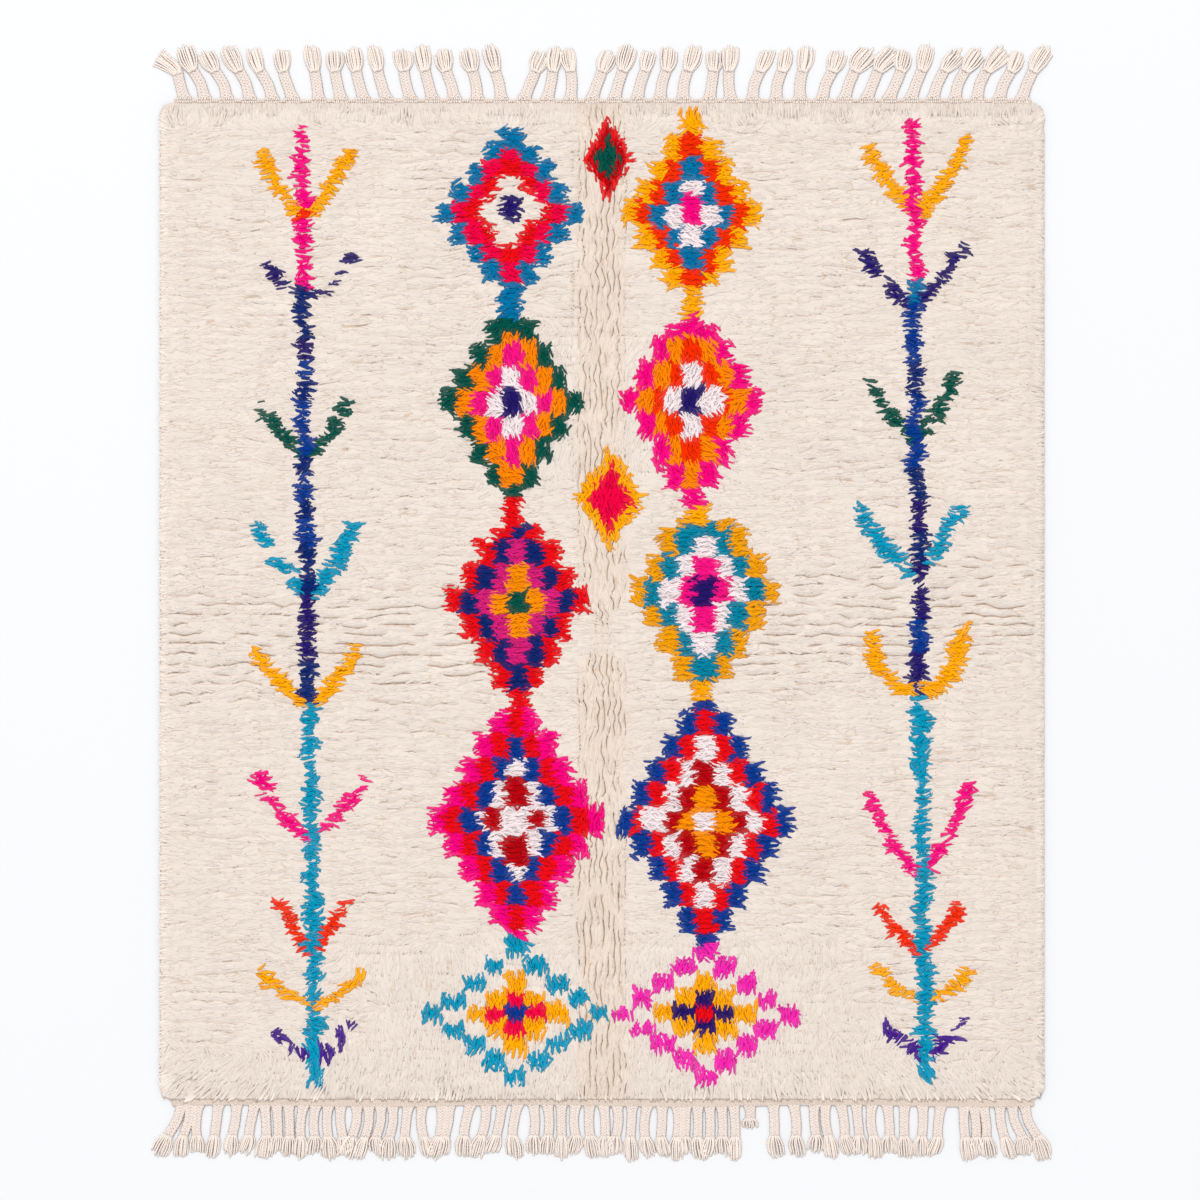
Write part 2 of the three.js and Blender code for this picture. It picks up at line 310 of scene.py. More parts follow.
def from_photo(pixel_x, pixel_y):
    """The place in metres under a pixel of the photograph."""
    return (
        (pixel_x - ORIGIN_PIXEL_X) * METRES_PER_PIXEL,
        (ORIGIN_PIXEL_Y - pixel_y) * METRES_PER_PIXEL,
    )


def to_photo(x, y):
    """The photograph's pixel over a place in metres."""
    return ORIGIN_PIXEL_X + x / METRES_PER_PIXEL, ORIGIN_PIXEL_Y - y / METRES_PER_PIXEL


def soft_noise(x, y, cell, seed):
    """Smooth noise from -1 to 1, with bumps about one cell across."""
    grid = np.random.default_rng(seed).uniform(-1, 1, (256, 256))
    u = np.asarray(x) / cell + 100.0
    v = np.asarray(y) / cell + 100.0
    i = np.floor(u).astype(int)
    j = np.floor(v).astype(int)
    s = u - i
    t = v - j
    s = s * s * (3 - 2 * s)
    t = t * t * (3 - 2 * t)
    low = grid[i % 256, j % 256] * (1 - s) + grid[(i + 1) % 256, j % 256] * s
    high = grid[i % 256, (j + 1) % 256] * (1 - s) + grid[(i + 1) % 256, (j + 1) % 256] * s
    return low * (1 - t) + high * t


def noise_sum(x, y, layers):
    """Soft noise in layers, each with its amount, cell and seed."""
    return sum(amount * soft_noise(x, y, cell, seed) for amount, cell, seed in layers)


def smooth_step(value):
    """0 below 0, 1 above 1 and an S curve between."""
    t = np.clip(value, 0, 1)
    return t * t * (3 - 2 * t)


def paint_lozenge(wool, px, py, lozenge):
    """Lays one stepped lozenge over the wool numbers of the points px, py."""
    x, y, steps, step, tip, row_height, up, down, dabs, names = lozenge
    across = np.abs(px - x)
    along = py - y
    rows = np.abs(along) / row_height
    row = np.round(rows)
    half_width = tip + step * (steps - row)
    inside = (row <= steps) & (across < half_width) & (along > -up) & (along < down)
    rings = np.array([WOOL_NAMES.index(name) for name in names.split()])
    ring = np.clip(np.floor((half_width - across) / step).astype(int), 0, len(rings) - 1)
    inside &= (ring > 0) | (np.abs(rows - row) < 0.5 * dabs)
    wool[inside] = rings[ring[inside]]


def paint_block(wool, px, py, block):
    """Lays one rectangle over the wool numbers."""
    x, y, half_width, half_height, name = block
    inside = (np.abs(px - x) < half_width) & (np.abs(py - y) < half_height)
    wool[inside] = WOOL_NAMES.index(name)


def paint_stem(wool, px, py, stem):
    """Lays one stem over the wool numbers, stretch by stretch and a little uneven in width."""
    top_x, bottom_x, top, stretches = stem
    share = (py - STEM_TOP) / (STEM_BOTTOM - STEM_TOP)
    own = np.full(py.shape, float(top_x))
    middle = top_x + (bottom_x - top_x) * share + noise_sum(own, py, STEM_STRAY)
    inside = np.abs(px - middle) < STEM_HALF_WIDTH + noise_sum(own, py, STEM_SWELL)
    for bottom, name in stretches:
        wool[inside & (py > top) & (py < bottom)] = WOOL_NAMES.index(name)
        top = bottom


def paint_twig(wool, px, py, twig):
    """Lays one pair of twigs over the wool numbers. They steepen upward and break into dabs."""
    fork_x, fork_y, left_x, left_y, right_x, right_y, curve, half_width, gaps, name = twig
    for tip_x, tip_y in ((left_x, left_y), (right_x, right_y)):
        share = (px - fork_x) / (tip_x - fork_x)
        kept = np.clip(share, 0, 1)
        curve_y = fork_y + (tip_y - fork_y) * kept ** curve
        slope = curve * (tip_y - fork_y) / (tip_x - fork_x) * np.maximum(kept, 0.1) ** (curve - 1)
        past = (share - kept) * (tip_x - fork_x)
        away = np.hypot((py - curve_y) / np.sqrt(1 + slope * slope), past)
        away = np.maximum(away, TIP_FLATNESS * (tip_y - py))
        swell = noise_sum(px, py, TWIG_SWELL)
        unbroken = soft_noise(px * 0.3, py, 4.5, 16) > 1.1 * gaps - 1.0
        wool[(away < half_width + swell) & unbroken] = WOOL_NAMES.index(name)


def wool_at(x, y):
    """The wool's number at places in metres."""
    px, py = to_photo(np.asarray(x, dtype=float), np.asarray(y, dtype=float))
    px, py = px + noise_sum(px, py, STRAY_ACROSS), py + noise_sum(px, py, STRAY_ALONG)
    wool = np.zeros(px.shape, dtype=int)
    for twig in TWIGS:
        paint_twig(wool, px, py, twig)
    for stem in STEMS:
        paint_stem(wool, px, py, stem)
    for lozenge in LOZENGES:
        paint_lozenge(wool, px, py, lozenge)
    for block in BLOCKS:
        paint_block(wool, px, py, block)
    return wool


PALETTE = to_linear([WOOL[name] for name in WOOL_NAMES])


def add_mesh(name, vertices, faces, material, smooth=True):
    """A mesh object from arrays, with faces that all have the same number of corners."""
    mesh = bpy.data.meshes.new(name)
    corners = faces.shape[1]
    mesh.vertices.add(len(vertices))
    mesh.vertices.foreach_set("co", np.ascontiguousarray(vertices, dtype=np.float32).ravel())
    mesh.loops.add(faces.size)
    mesh.loops.foreach_set("vertex_index", np.ascontiguousarray(faces, dtype=np.int32).ravel())
    mesh.polygons.add(len(faces))
    mesh.polygons.foreach_set("loop_start", np.arange(0, faces.size, corners, dtype=np.int32))
    mesh.update(calc_edges=True)
    mesh.validate()
    mesh.polygons.foreach_set("use_smooth", np.full(len(mesh.polygons), smooth))
    mesh.materials.append(material)
    piece = bpy.data.objects.new(name, mesh)
    bpy.context.scene.collection.objects.link(piece)
    return piece


def add_point_colour(piece, colours, lengthwise):
    """Gives each vertex a linear colour and, as alpha, how far its wool lies along the fibre map's V."""
    layer = piece.data.color_attributes.new("wool", "FLOAT_COLOR", "POINT")
    values = np.ones((len(colours), 4), dtype=np.float32)
    values[:, :3] = colours
    values[:, 3] = lengthwise
    layer.data.foreach_set("color", values.ravel())


def add_map(piece, name, coordinates):
    """A UV map from one pair of coordinates for each corner of each face."""
    layer = piece.data.uv_layers.new(name=name)
    layer.data.foreach_set("uv", np.ascontiguousarray(coordinates, dtype=np.float32).ravel())


def add_flat_maps(piece, vertices, triangles, unit, places):
    """The fibre map, laid on from above, and the bake map."""
    add_map(piece, "fibre", vertices[triangles.ravel()][:, :2] / unit)
    add_map(piece, "OFBake", places)


def split_quads(quads):
    """Two triangles for each quad, as corner numbers or as their places on a map."""
    return np.concatenate([quads[:, [0, 1, 2]], quads[:, [0, 2, 3]]])


def quads_between(near, far):
    """Quads between two rows or grids of point numbers that lie side by side."""
    return np.stack([near[:-1], near[1:], far[1:], far[:-1]], -1).reshape(-1, 4)


def strip_places(corners, count):
    """Places on a map for a strip of faces side by side, from the corners of one face."""
    step = np.arange(count)
    return np.stack([np.stack([(step + u) / count, np.full(count, v)], -1) for u, v in corners], 1)


def grid_rim(shape):
    """Numbers of the points around a grid, from its first corner and to the left."""
    index = np.arange(shape[0] * shape[1]).reshape(shape)
    return np.concatenate([index[:, 0], index[-1, 1:], index[-2::-1, -1], index[0, -2:0:-1]])


def close_sheet(shape, sheet, rings, foot):
    """A closed skin: a grid of points, walls from its rim through the rings, and a fan to the foot.

    Gives its points, its triangles and each corner's place on the bake map.
    """
    index = np.arange(shape[0] * shape[1]).reshape(shape)
    quads = quads_between(index[:, :-1], index[:, 1:])
    u, v = np.meshgrid(np.linspace(0, 1, shape[0]), np.linspace(0.1, 1, shape[1]), indexing="ij")
    places = np.stack([u, v], -1).reshape(-1, 2)[quads]
    before = grid_rim(shape)
    count = len(before)
    for number in range(len(rings)):
        after = len(sheet) + number * count + np.arange(count)
        wall = np.stack([np.roll(before, -1), before, after, np.roll(after, -1)], -1)
        low, high = 0.08 - 0.03 * number, 0.06 - 0.03 * number
        quads = np.concatenate([quads, wall])
        places = np.concatenate([places, strip_places(((1, low), (0, low), (0, high), (1, high)), count)])
        before = after
    vertices = np.concatenate([sheet, *rings, foot[None]])
    caps = np.stack([np.roll(before, -1), before, np.full(count, len(vertices) - 1)], -1)
    cap_places = strip_places(((1, 0.02), (0, 0.02), (0.5, 0.0)), count)
    triangles = np.concatenate([split_quads(quads), caps])
    return vertices, triangles, np.concatenate([split_quads(places), cap_places])


def tube_pattern(ring_count):
    """Faces of a three-sided tube with pointed ends, and each corner's place around and along it.

    Its points are the start, then left, top and right of each ring, then the end.
    """
    faces = []
    places = []
    for c in range(3):
        d = (c + 1) % 3
        left, middle, right = c / 3, (c + 0.5) / 3, (c + 1) / 3
        faces.append((0, 1 + d, 1 + c))
        places.append(((middle, 0), (right, 1), (left, 1)))
        for ring in range(ring_count - 1):
            a = 1 + ring * 3
            faces.append((a + c, a + d, a + 3 + d))
            places.append(((left, ring + 1), (right, ring + 1), (right, ring + 2)))
            faces.append((a + c, a + 3 + d, a + 3 + c))
            places.append(((left, ring + 1), (right, ring + 2), (left, ring + 2)))
        last = 1 + (ring_count - 1) * 3
        faces.append((last + c, last + d, last + 3))
        places.append(((left, ring_count), (right, ring_count), (middle, ring_count + 1)))
    places = np.array(places, dtype=float) / (1, ring_count + 1)
    return np.array(faces), places


def add_tubes(name, points, material, fibre_size, rng):
    """A mesh of many tubes of the same pattern, with the fibre map and its own cell for each to bake."""
    count, per_tube = points.shape[:2]
    faces, places = tube_pattern((per_tube - 2) // 3)
    all_faces = (faces[None] + (np.arange(count) * per_tube)[:, None, None]).reshape(-1, 3)
    piece = add_mesh(name, points.reshape(-1, 3), all_faces, material)
    corner_places = np.broadcast_to(places.reshape(1, -1, 2), (count, faces.size, 2))
    offset = rng.uniform(0, 90, (count, 1, 2))
    add_map(piece, "fibre", corner_places * np.asarray(fibre_size) + offset)
    cells = math.ceil(math.sqrt(count))
    number = np.arange(count)
    cell = np.stack([number % cells, number // cells], 1)[:, None, :]
    add_map(piece, "OFBake", (cell + corner_places * 0.8 + 0.1) / cells)
    return piece


# Materials


def new_material(name):
    """An empty node material, with its tree and the shader it ends in."""
    material = bpy.data.materials.new(name)
    material.use_nodes = True
    tree = material.node_tree
    return material, tree, tree.nodes["Principled BSDF"]


def set_inputs(tree, node, inputs):
    """Sets inputs of a node to numbers or colours, or links them to sockets."""
    for key, value in inputs.items():
        if isinstance(value, bpy.types.NodeSocket):
            tree.links.new(value, node.inputs[key])
        else:
            node.inputs[key].default_value = value


def add_node(tree, kind, inputs, **settings):
    """A shader node with its settings and its inputs."""
    node = tree.nodes.new("ShaderNode" + kind)
    for name, value in settings.items():
        setattr(node, name, value)
    set_inputs(tree, node, inputs)
    return node


def add_math(tree, operation, first, second):
    """A math node between two values, each a socket or a number."""
    return add_node(tree, "Math", {0: first, 1: second}, operation=operation).outputs[0]


def add_noise(tree, vector, scale, detail):
    """Noise that is stretched by its scale."""
    stretch = add_node(tree, "Mapping", {0: vector, "Scale": scale})
    inputs = {"Vector": stretch.outputs[0], "Scale": 1.0, "Detail": detail}
    return add_node(tree, "TexNoise", inputs).outputs[0]


def add_range(tree, value, start, end, **settings):
    """Maps one pair of values, the start, to another, the end."""
    inputs = {0: value, "From Min": start[0], "From Max": start[1], "To Min": end[0], "To Max": end[1]}
    return add_node(tree, "MapRange", inputs, **settings).outputs[0]


def add_creases(tree, vector, scale):
    """Thin wavy lines, long one way: 1 on a line and 0 off it."""
    level = add_noise(tree, vector, scale, 1.0)
    away = add_math(tree, "ABSOLUTE", add_math(tree, "SUBTRACT", level, 0.5), 0.0)
    return add_range(tree, away, (0.020, 0.0), (0.0, 1.0), interpolation_type="SMOOTHSTEP")


def mix_ways(tree, share, sideways, lengthwise):
    """Goes over from a sideways texture to a lengthwise one with the lie of the pile."""
    return add_node(tree, "Mix", {0: share, 2: sideways, 3: lengthwise}).outputs[0]


def finish_shader(tree, shader, colour, height, depth, settings):
    """Gives the shader its colour, a bump and its own settings."""
    bump = add_node(tree, "Bump", {"Strength": 0.5, "Distance": depth, "Height": height})
    set_inputs(tree, shader, {"Base Color": colour, "Normal": bump.outputs[0], **settings})


def make_wool(name, fineness, creased):
    """Hand-spun wool: fine streaks the way it lies, and thin creases in the fleece, sunk by the bump and
    darkened with painted shade.
    """
    material, tree, shader = new_material(name)
    colour = add_node(tree, "Attribute", {}, attribute_name="wool")
    place = add_node(tree, "UVMap", {}, uv_map="fibre").outputs[0]
    share = colour.outputs["Alpha"]
    sideways = add_noise(tree, place, (0.9, 7.0 * fineness, 1.0), 2.0)
    lengthwise = add_noise(tree, place, (7.0 * fineness, 0.9, 1.0), 2.0)
    height = mix_ways(tree, share, sideways, lengthwise)
    shade = add_range(tree, height, (0.3, 0.7), (0.9, 1.05))
    tint = {0: colour.outputs["Color"], "Scale": shade}
    surface = add_node(tree, "VectorMath", tint, operation="SCALE").outputs[0]
    if creased:
        across = add_creases(tree, place, (0.24, 1.0, 1.0))
        along = add_creases(tree, place, (1.1, 0.26, 1.0))
        line = mix_ways(tree, share, across, along)
        patch = add_noise(tree, place, (0.18, 0.3, 1.0), 2.0)
        line = add_math(tree, "MULTIPLY", line, add_range(tree, patch, (0.36, 0.56), (0.0, 1.0)))
        # Painted shade: the creases' lines darken the colour.
        darken = {0: line, 6: surface, 7: (0.85, 0.75, 0.65, 1)}
        surface = add_node(tree, "Mix", darken, data_type="RGBA", blend_type="MULTIPLY").outputs[2]
        height = add_math(tree, "SUBTRACT", height, add_math(tree, "MULTIPLY", line, 1.2))
    looks = {"Roughness": 0.9, "Specular IOR Level": 0.04, "Sheen Weight": 0.01}
    finish_shader(tree, shader, surface, height, 0.001, looks)
    return material


def make_yarn(name, colour):
    """Undyed yarn of the fringe: a slanted twist over a soft mottled beige."""
    material, tree, shader = new_material(name)
    fibre = add_node(tree, "UVMap", {}, uv_map="fibre").outputs[0]
    waves = {"Vector": fibre, "Scale": 1.0, "Distortion": 0.6}
    twist = add_node(tree, "TexWave", waves, bands_direction="DIAGONAL").outputs["Fac"]
    shade = add_range(tree, twist, (0.0, 1.0), (0.92, 1.05))
    tint = {0: to_linear(colour), "Scale": shade}
    surface = add_node(tree, "VectorMath", tint, operation="SCALE").outputs[0]
    looks = {"Roughness": 0.92, "Specular IOR Level": 0.2, "Sheen Weight": 0.15}
    finish_shader(tree, shader, surface, twist, 0.0008, looks)
    return material


# Pile

# Noise of the pile. Columns of each layer: amount, cell, seed. Sizes are in metres, and the middle
# strip is shifted by pixels. The factor tells one row's noise from the next one's.
ROW_FACTOR = 11.3
BAND_SHIFT = ((3, 0.15, 31),)
BAND_FRAY = ((0.3, 0.04, 32),)
ZONE_FRAY = ((0.4, 0.03, 14),)
LIE_STRAY = ((0.22, 0.05, 13),)
ROW_WAVE = ((0.0034, 0.055, 22), (0.0022, 0.17, 23), (0.0020, 0.020, 37))
ROW_STRAY = ((0.0044, 0.021, 35),)
COLUMN_WAVE = ((0.0036, 0.05, 24),)
FURROW_FRAY = ((0.0014, 0.014, 45),)
PILE_BUMPS = ((0.0011, 0.07, 25), (0.0008, 0.024, 26))
PILE_RIPPLES = ((0.0005, 0.016, 47),)
END_FRAY = ((0.006, 0.03, 48),)
TONE_PATCHES = ((0.025, 0.05, 33), (0.02, 0.012, 34))

# The stretch of strong creases, which crosses the middle strip, in the photograph's pixels.
CROSSING_Y = 632
CROSSING_HALF_HEIGHT = 26
CREASED_HALF_HEIGHT = 45
# How strongly rows show: everywhere, in patches, and more in that stretch.
CREASE_BASE = 0.24
CREASE_PATCHES = ((0.20, 0.13, 29),)
CREASED_EXTRA = 0.66

# Changes near the edges of the field. Each has how far inside the edge it starts, and the length
# over which it grows: pile that falls outward at the sides and is combed over the ends, wisps that
# are longer near the bottom, and more of them near both ends.
FALLEN_SIDE = (0.015, 0.010)
COMBED_TOP = (0.06, 0.05)
COMBED_BOTTOM = (0.13, 0.11)
SHAGGY_BOTTOM = (0.14, 0.06)
DENSE_BOTTOM = (0.10, 0.04)
DENSE_TOP = (0.05, 0.04)
# Painted light and shade there: how much lighter or darker the wool is painted. The first column is the
# amount.
SIDE_PAINTED_LIGHT = 0.06
BOTTOM_PAINTED_LIGHT = (0.08, 0.055, 0.045)
TOP_PAINTED_SHADE = (-0.03, 0.045, 0.030)
END_PAINTED_SHADE = (-0.07, 0.017, 0.014)
# Waves and creases die out over this length before an edge.
CALM_EDGE = 0.020
# The pile's rounded shoulders at the sides and at the ends, and where the ends rise to the sides' height.
SHOULDER = 0.030
END_SHOULDER = 0.042
END_RISE = 0.03

# How deep the creases between rows are, and how much deeper the furrows of the middle strip.
CREASE_DEPTH = 0.0050
FURROW_EXTRA_DEPTH = 0.0014
# The spread of the fleece's points up and down, and the share of a row's stray that its ridge has.
FLEECE_GRAIN = 0.00016
RIDGE_STRAY = 0.35
# The fleece's outline: how wide its frayed edge is, and how far it moves in at the sides and out at
# the ends.
EDGE_FRAY_WIDTH = 0.012
SIDE_DRAWN_IN = 0.0008
END_PUSHED_OUT = 0.0010
SIDE_FRAY = ((0.0008, 0.035, 38),)
END_EDGE_FRAY = ((0.0008, 0.014, 39),)
# Painted brown shade that the creases and the furrows give the wool, redder in the furrows, and its warmer
# tone in the middle strip.
CREASE_PAINTED_SHADE = np.array([0.78, 0.62, 0.48])
FURROW_SHADE_TINT = np.array([0.02, -0.03, -0.08])
STRIP_WARMTH = np.array([1.0, 0.93, 0.82])
STRIP_WISP_TINT = np.array([0.0, 0.030, 0.075])
# Wool takes in some colour from its four sides: how far away they are in the fleece and in the
# wisps, and the share of their colours in the fleece.
BESIDE = ((1, 0), (-1, 0), (0, 1), (0, -1))
FLEECE_BLEED_REACH = 0.005
WISP_BLEED_REACH = 0.007
FLEECE_BLEED = 0.6
# The most that a wisp's colour reaches.
BRIGHTEST = 0.98
# Painted shade along a wisp, darkest at its sunk root and a little darker on its sides than on its top: its
# root, three points of each of its two rings, and its tip.
WISP_PAINTED_SHADES = np.array([[0.85, 0.95, 0.98, 0.95, 1.0, 1.02, 1.0, 1.0]])

# Wisps of undyed and of dyed wool. Thickness is a share of the width, sink is how deep the sides
# lie in the fleece, turn is the spread of the direction in radians, and bleed is the share of the
# neighbours' colours.
WISP_LENGTH = (0.031, 0.021)
WISP_WIDTH = (0.0056, 0.0037)
WISP_THICKNESS = (0.14, 0.24)
WISP_SINK = (0.0012, 0.0)
WISP_LIFT = (0.0003, 0.0009)
WISP_TURN = (0.15, 0.13)
WISP_BLEED = (0.22, 0.08)
WISP_TONE = (1.0, 1.06)
WISP_TONE_SPREAD = (0.02, 0.055)
# How much longer wisps are near the bottom end, and how far their middles bend aside.
SHAGGINESS = 0.3
WISP_BEND = 0.0022
# How far wisps reach past the ends of the field: at the bottom, with its noise and spread, and
# the most that is left of their overhang at the bottom and at the top.
END_REACH = 0.0050
END_REACH_NOISE = ((0.0036, 0.026, 36),)
END_REACH_SPREAD = (-0.003, 0.006)
SIDE_REACH_SPREAD = (0.0008, 0.0034)
BOTTOM_OVERHANG = 0.016
TOP_OVERHANG = 0.002
# The lowest that wisps lie: over the bottom band and elsewhere.
LOWEST_ON_BAND = BOTTOM_BAND["height"] + 0.0004
LOWEST = 0.0032


def edge_depth(x, y):
    """How far inside the pile's outline a place is. Negative outside."""
    return np.minimum(
        np.minimum(x - FIELD_LOW[0], FIELD_HIGH[0] - x),
        np.minimum(y - FIELD_LOW[1], FIELD_HIGH[1] - y),
    )


def centre_band(x, y):
    """1 in the middle strip, where the pile lies lengthwise in narrow furrows, and 0 away from it."""
    px, py = to_photo(x, y)
    away = np.abs(px - BAND_MIDDLE - noise_sum(y, y, BAND_SHIFT)) / BAND_HALF_WIDTH
    crossed = smooth_step(1.4 - np.abs(py - CROSSING_Y) / CROSSING_HALF_HEIGHT)
    return smooth_step(2.0 - 2.0 * away + noise_sum(x, y, BAND_FRAY) - 1.3 * crossed)


def near_edge(past, start, length):
    """0 well inside the field and 1 near an edge of it, from how far past that edge a place is."""
    return smooth_step((past + start) / length)


def past_ends(y):
    """How far past the bottom and the top end of the field y is. Negative inside."""
    return FIELD_LOW[1] - y, y - FIELD_HIGH[1]


def side_nearness(x):
    """1 beside the long edges, where the pile falls outward, and 0 away from them."""
    return near_edge(-np.minimum(x - FIELD_LOW[0], FIELD_HIGH[0] - x), *FALLEN_SIDE)


def painted_edge_shading(x, y):
    """Painted light and shade on the wool: lighter at the long sides and before the bottom end, darker at
    both ends.
    """
    bottom, top = past_ends(y)
    tone = 1 + SIDE_PAINTED_LIGHT * side_nearness(x)
    for past, change in ((bottom, BOTTOM_PAINTED_LIGHT), (top, TOP_PAINTED_SHADE), (np.maximum(bottom, top), END_PAINTED_SHADE)):
        tone = tone + change[0] * near_edge(past, *change[1:])
    return tone


def lie_of_pile(x, y):
    """The way the pile lies as a vector, and the share of it that runs lengthwise."""
    patch = soft_noise(x, y * 1.8, 0.08, 11) + 0.3 * soft_noise(x, y, 0.025, 12)
    lie_x = np.where(patch > 0, 1.0, -1.0)
    lie_y = noise_sum(x, y, LIE_STRAY)
    px, py = to_photo(x, y)
    share = centre_band(x, y)
    for zone in LIE_ZONES:
        beside = np.abs(px - zone["x"]) / zone["half_width"]
        away = np.maximum(beside, np.abs(py - zone["y"]) / zone["half_height"])
        own_share = zone["share"] * smooth_step(2.2 - 2.2 * away + noise_sum(x, y, ZONE_FRAY))
        share = np.maximum(share, own_share)
    lie_x = lie_x * (1 - share)
    lie_y = lie_y * (1 - share) - share
    past_bottom, past_top = past_ends(y)
    near_top = near_edge(past_top, *COMBED_TOP)
    near_bottom = near_edge(past_bottom, *COMBED_BOTTOM)
    outward = x / FIELD_HIGH[0]
    keep = (1 - near_top) * (1 - near_bottom)
    lie_x = lie_x * keep + near_bottom * 1.1 * outward * np.abs(outward)
    lie_y = lie_y * keep + near_top - near_bottom
    near_side = side_nearness(x)
    lie_x = lie_x * (1 - near_side) + 1.3 * np.sign(x) * near_side
    return lie_x, lie_y, np.maximum(share, np.maximum(near_top, near_bottom))


def pile_height(x, y):
    """Height of the fleece without its creases."""
    full = PILE_FULL + noise_sum(x, y, PILE_BUMPS) + noise_sum(x, y * 2.2, PILE_RIPPLES)
    shoulder = smooth_step(edge_depth(x, y) / SHOULDER)
    to_end = noise_sum(x, x, END_FRAY) - np.maximum(*past_ends(y))
    edge = PILE_AT_ENDS + (PILE_AT_SIDES - PILE_AT_ENDS) * smooth_step(to_end / END_RISE)
    end_shoulder = smooth_step(to_end / END_SHOULDER)
    return edge + (full - edge) * np.minimum(shoulder, end_shoulder)


def furrow_stray(furrow, y):
    """How far a furrow strays sideways at y, mostly away from its neighbours or toward them."""
    calm = 1 - 0.5 * smooth_step(-(y + 0.38) / 0.12)
    phase = 2 * math.pi * y / FURROW_WAVE + math.pi * furrow
    phase = phase + 3.6 * soft_noise(furrow * 9.7, y, 0.055, 40)
    swing = 0.0024 * (1 + 0.7 * soft_noise(furrow * 4.3, y, 0.06, 49)) * calm
    return swing * np.sin(phase) + noise_sum(furrow * 9.7, y, FURROW_FRAY)


def row_crease(x, row, strength):
    """How deep the crease below a row of knots is at x, from 0 to 1. Strong ones break up less."""
    breaks = 2.2 * soft_noise(x, row * 7.31, 0.026, 27) + 0.7 * soft_noise(x, row * 3.1, 0.011, 28)
    return smooth_step(0.12 + 0.5 * strength + breaks)


def crease_strength(x, y):
    """How strongly the rows show, from the photograph: most in two stretches across the middle."""
    px, py = to_photo(x, y)
    middle = smooth_step(1.6 - np.abs(py - CROSSING_Y + 0.06 * (px - 600)) / CREASED_HALF_HEIGHT)
    beside = smooth_step((np.abs(px - 610) - 40) / 120)
    return CREASE_BASE + noise_sum(x, y, CREASE_PATCHES) + CREASED_EXTRA * middle * beside


def drape(value, low, high, low_reach, high_reach):
    """Lets what passes an edge hang down past it. Gives the places and how far they fall."""
    over_low = np.maximum(0, low - value)
    over_high = np.maximum(0, value - high)
    kept_low = low_reach * (1 - np.exp(-over_low / low_reach))
    kept_high = high_reach * (1 - np.exp(-over_high / high_reach))
    return np.clip(value, low, high) - kept_low + kept_high, over_low - kept_low + over_high - kept_high


def into_lanes(value, start, pitch, spread):
    """Draws places together on the middles of their lanes."""
    lane = (value - start) / pitch
    number = np.floor(lane)
    return start + (number + 0.5 + (lane - number - 0.5) * spread) * pitch


def fleece_grid():
    """The fleece's grid of places, with its rows, furrows and crease lines and the lie of the pile."""
    shares = np.array(ROW_SHARES)
    ys = FIELD_LOW[1] + (np.arange(ROW_COUNT)[:, None] + shares[None]).ravel() * ROW_PITCH
    ys = np.append(ys, FIELD_HIGH[1])
    band = (np.arange(2 * FURROW_HALF_COUNT)[:, None] + shares[None]).ravel() * FURROW_PITCH + FURROW_START
    left = np.linspace(FIELD_LOW[0], band[0], SIDE_COLUMNS + 1)[:-1]
    right = np.linspace(FURROW_START + 2 * FURROW_HALF_COUNT * FURROW_PITCH, FIELD_HIGH[0], SIDE_COLUMNS)
    x, y = np.meshgrid(np.concatenate([left, band, right]), ys, indexing="ij")
    line = np.arange(len(ys))
    in_row = line % len(shares)
    is_column = np.zeros((len(x), 1), dtype=bool)
    is_column[len(left):len(left) + len(band):len(shares)] = True
    across = (x - FURROW_START) / FURROW_PITCH
    return types.SimpleNamespace(
        x=x, y=y, band=centre_band(x, y), lengthwise=lie_of_pile(x, y)[2], is_column=is_column,
        is_row=in_row == 0, on_ridge=in_row == 2, row=(line + 1) // len(shares),
        furrow=np.floor(across + 0.15), next_furrow=np.floor(across + 0.55),
    )


def round_corners(x, y):
    """Moves the grid's corners in, so that the outline turns in quarter circles."""
    middle = 0.5 * (FIELD_LOW[:2] + FIELD_HIGH[:2])
    half = 0.5 * (FIELD_HIGH[:2] - FIELD_LOW[:2])
    u = np.clip((np.abs(x - middle[0]) - half[0]) / CORNER_RADIUS + 1, 0, 1)
    v = np.clip((np.abs(y - middle[1]) - half[1]) / CORNER_RADIUS + 1, 0, 1)
    shift_x = CORNER_RADIUS * u * (1 - np.sqrt(1 - v * v / 2))
    shift_y = CORNER_RADIUS * v * (1 - np.sqrt(1 - u * u / 2))
    return x - np.sign(x - middle[0]) * shift_x, y - np.sign(y - middle[1]) * shift_y


def fleece_creases(grid):
    """How deep the creases between rows and furrows are over the fleece's grid, from 0 to 1."""
    strength = crease_strength(grid.x, grid.y)
    rows = (1 - grid.lengthwise) * strength + 0.15 * grid.lengthwise * (1 - grid.band)
    rows = rows * row_crease(grid.x, grid.row, strength) * grid.is_row
    broken = smooth_step(0.58 + 1.6 * soft_noise(grid.furrow * 7.7, grid.y, 0.026, 30))
    return np.maximum(rows, grid.band * broken * grid.is_column)


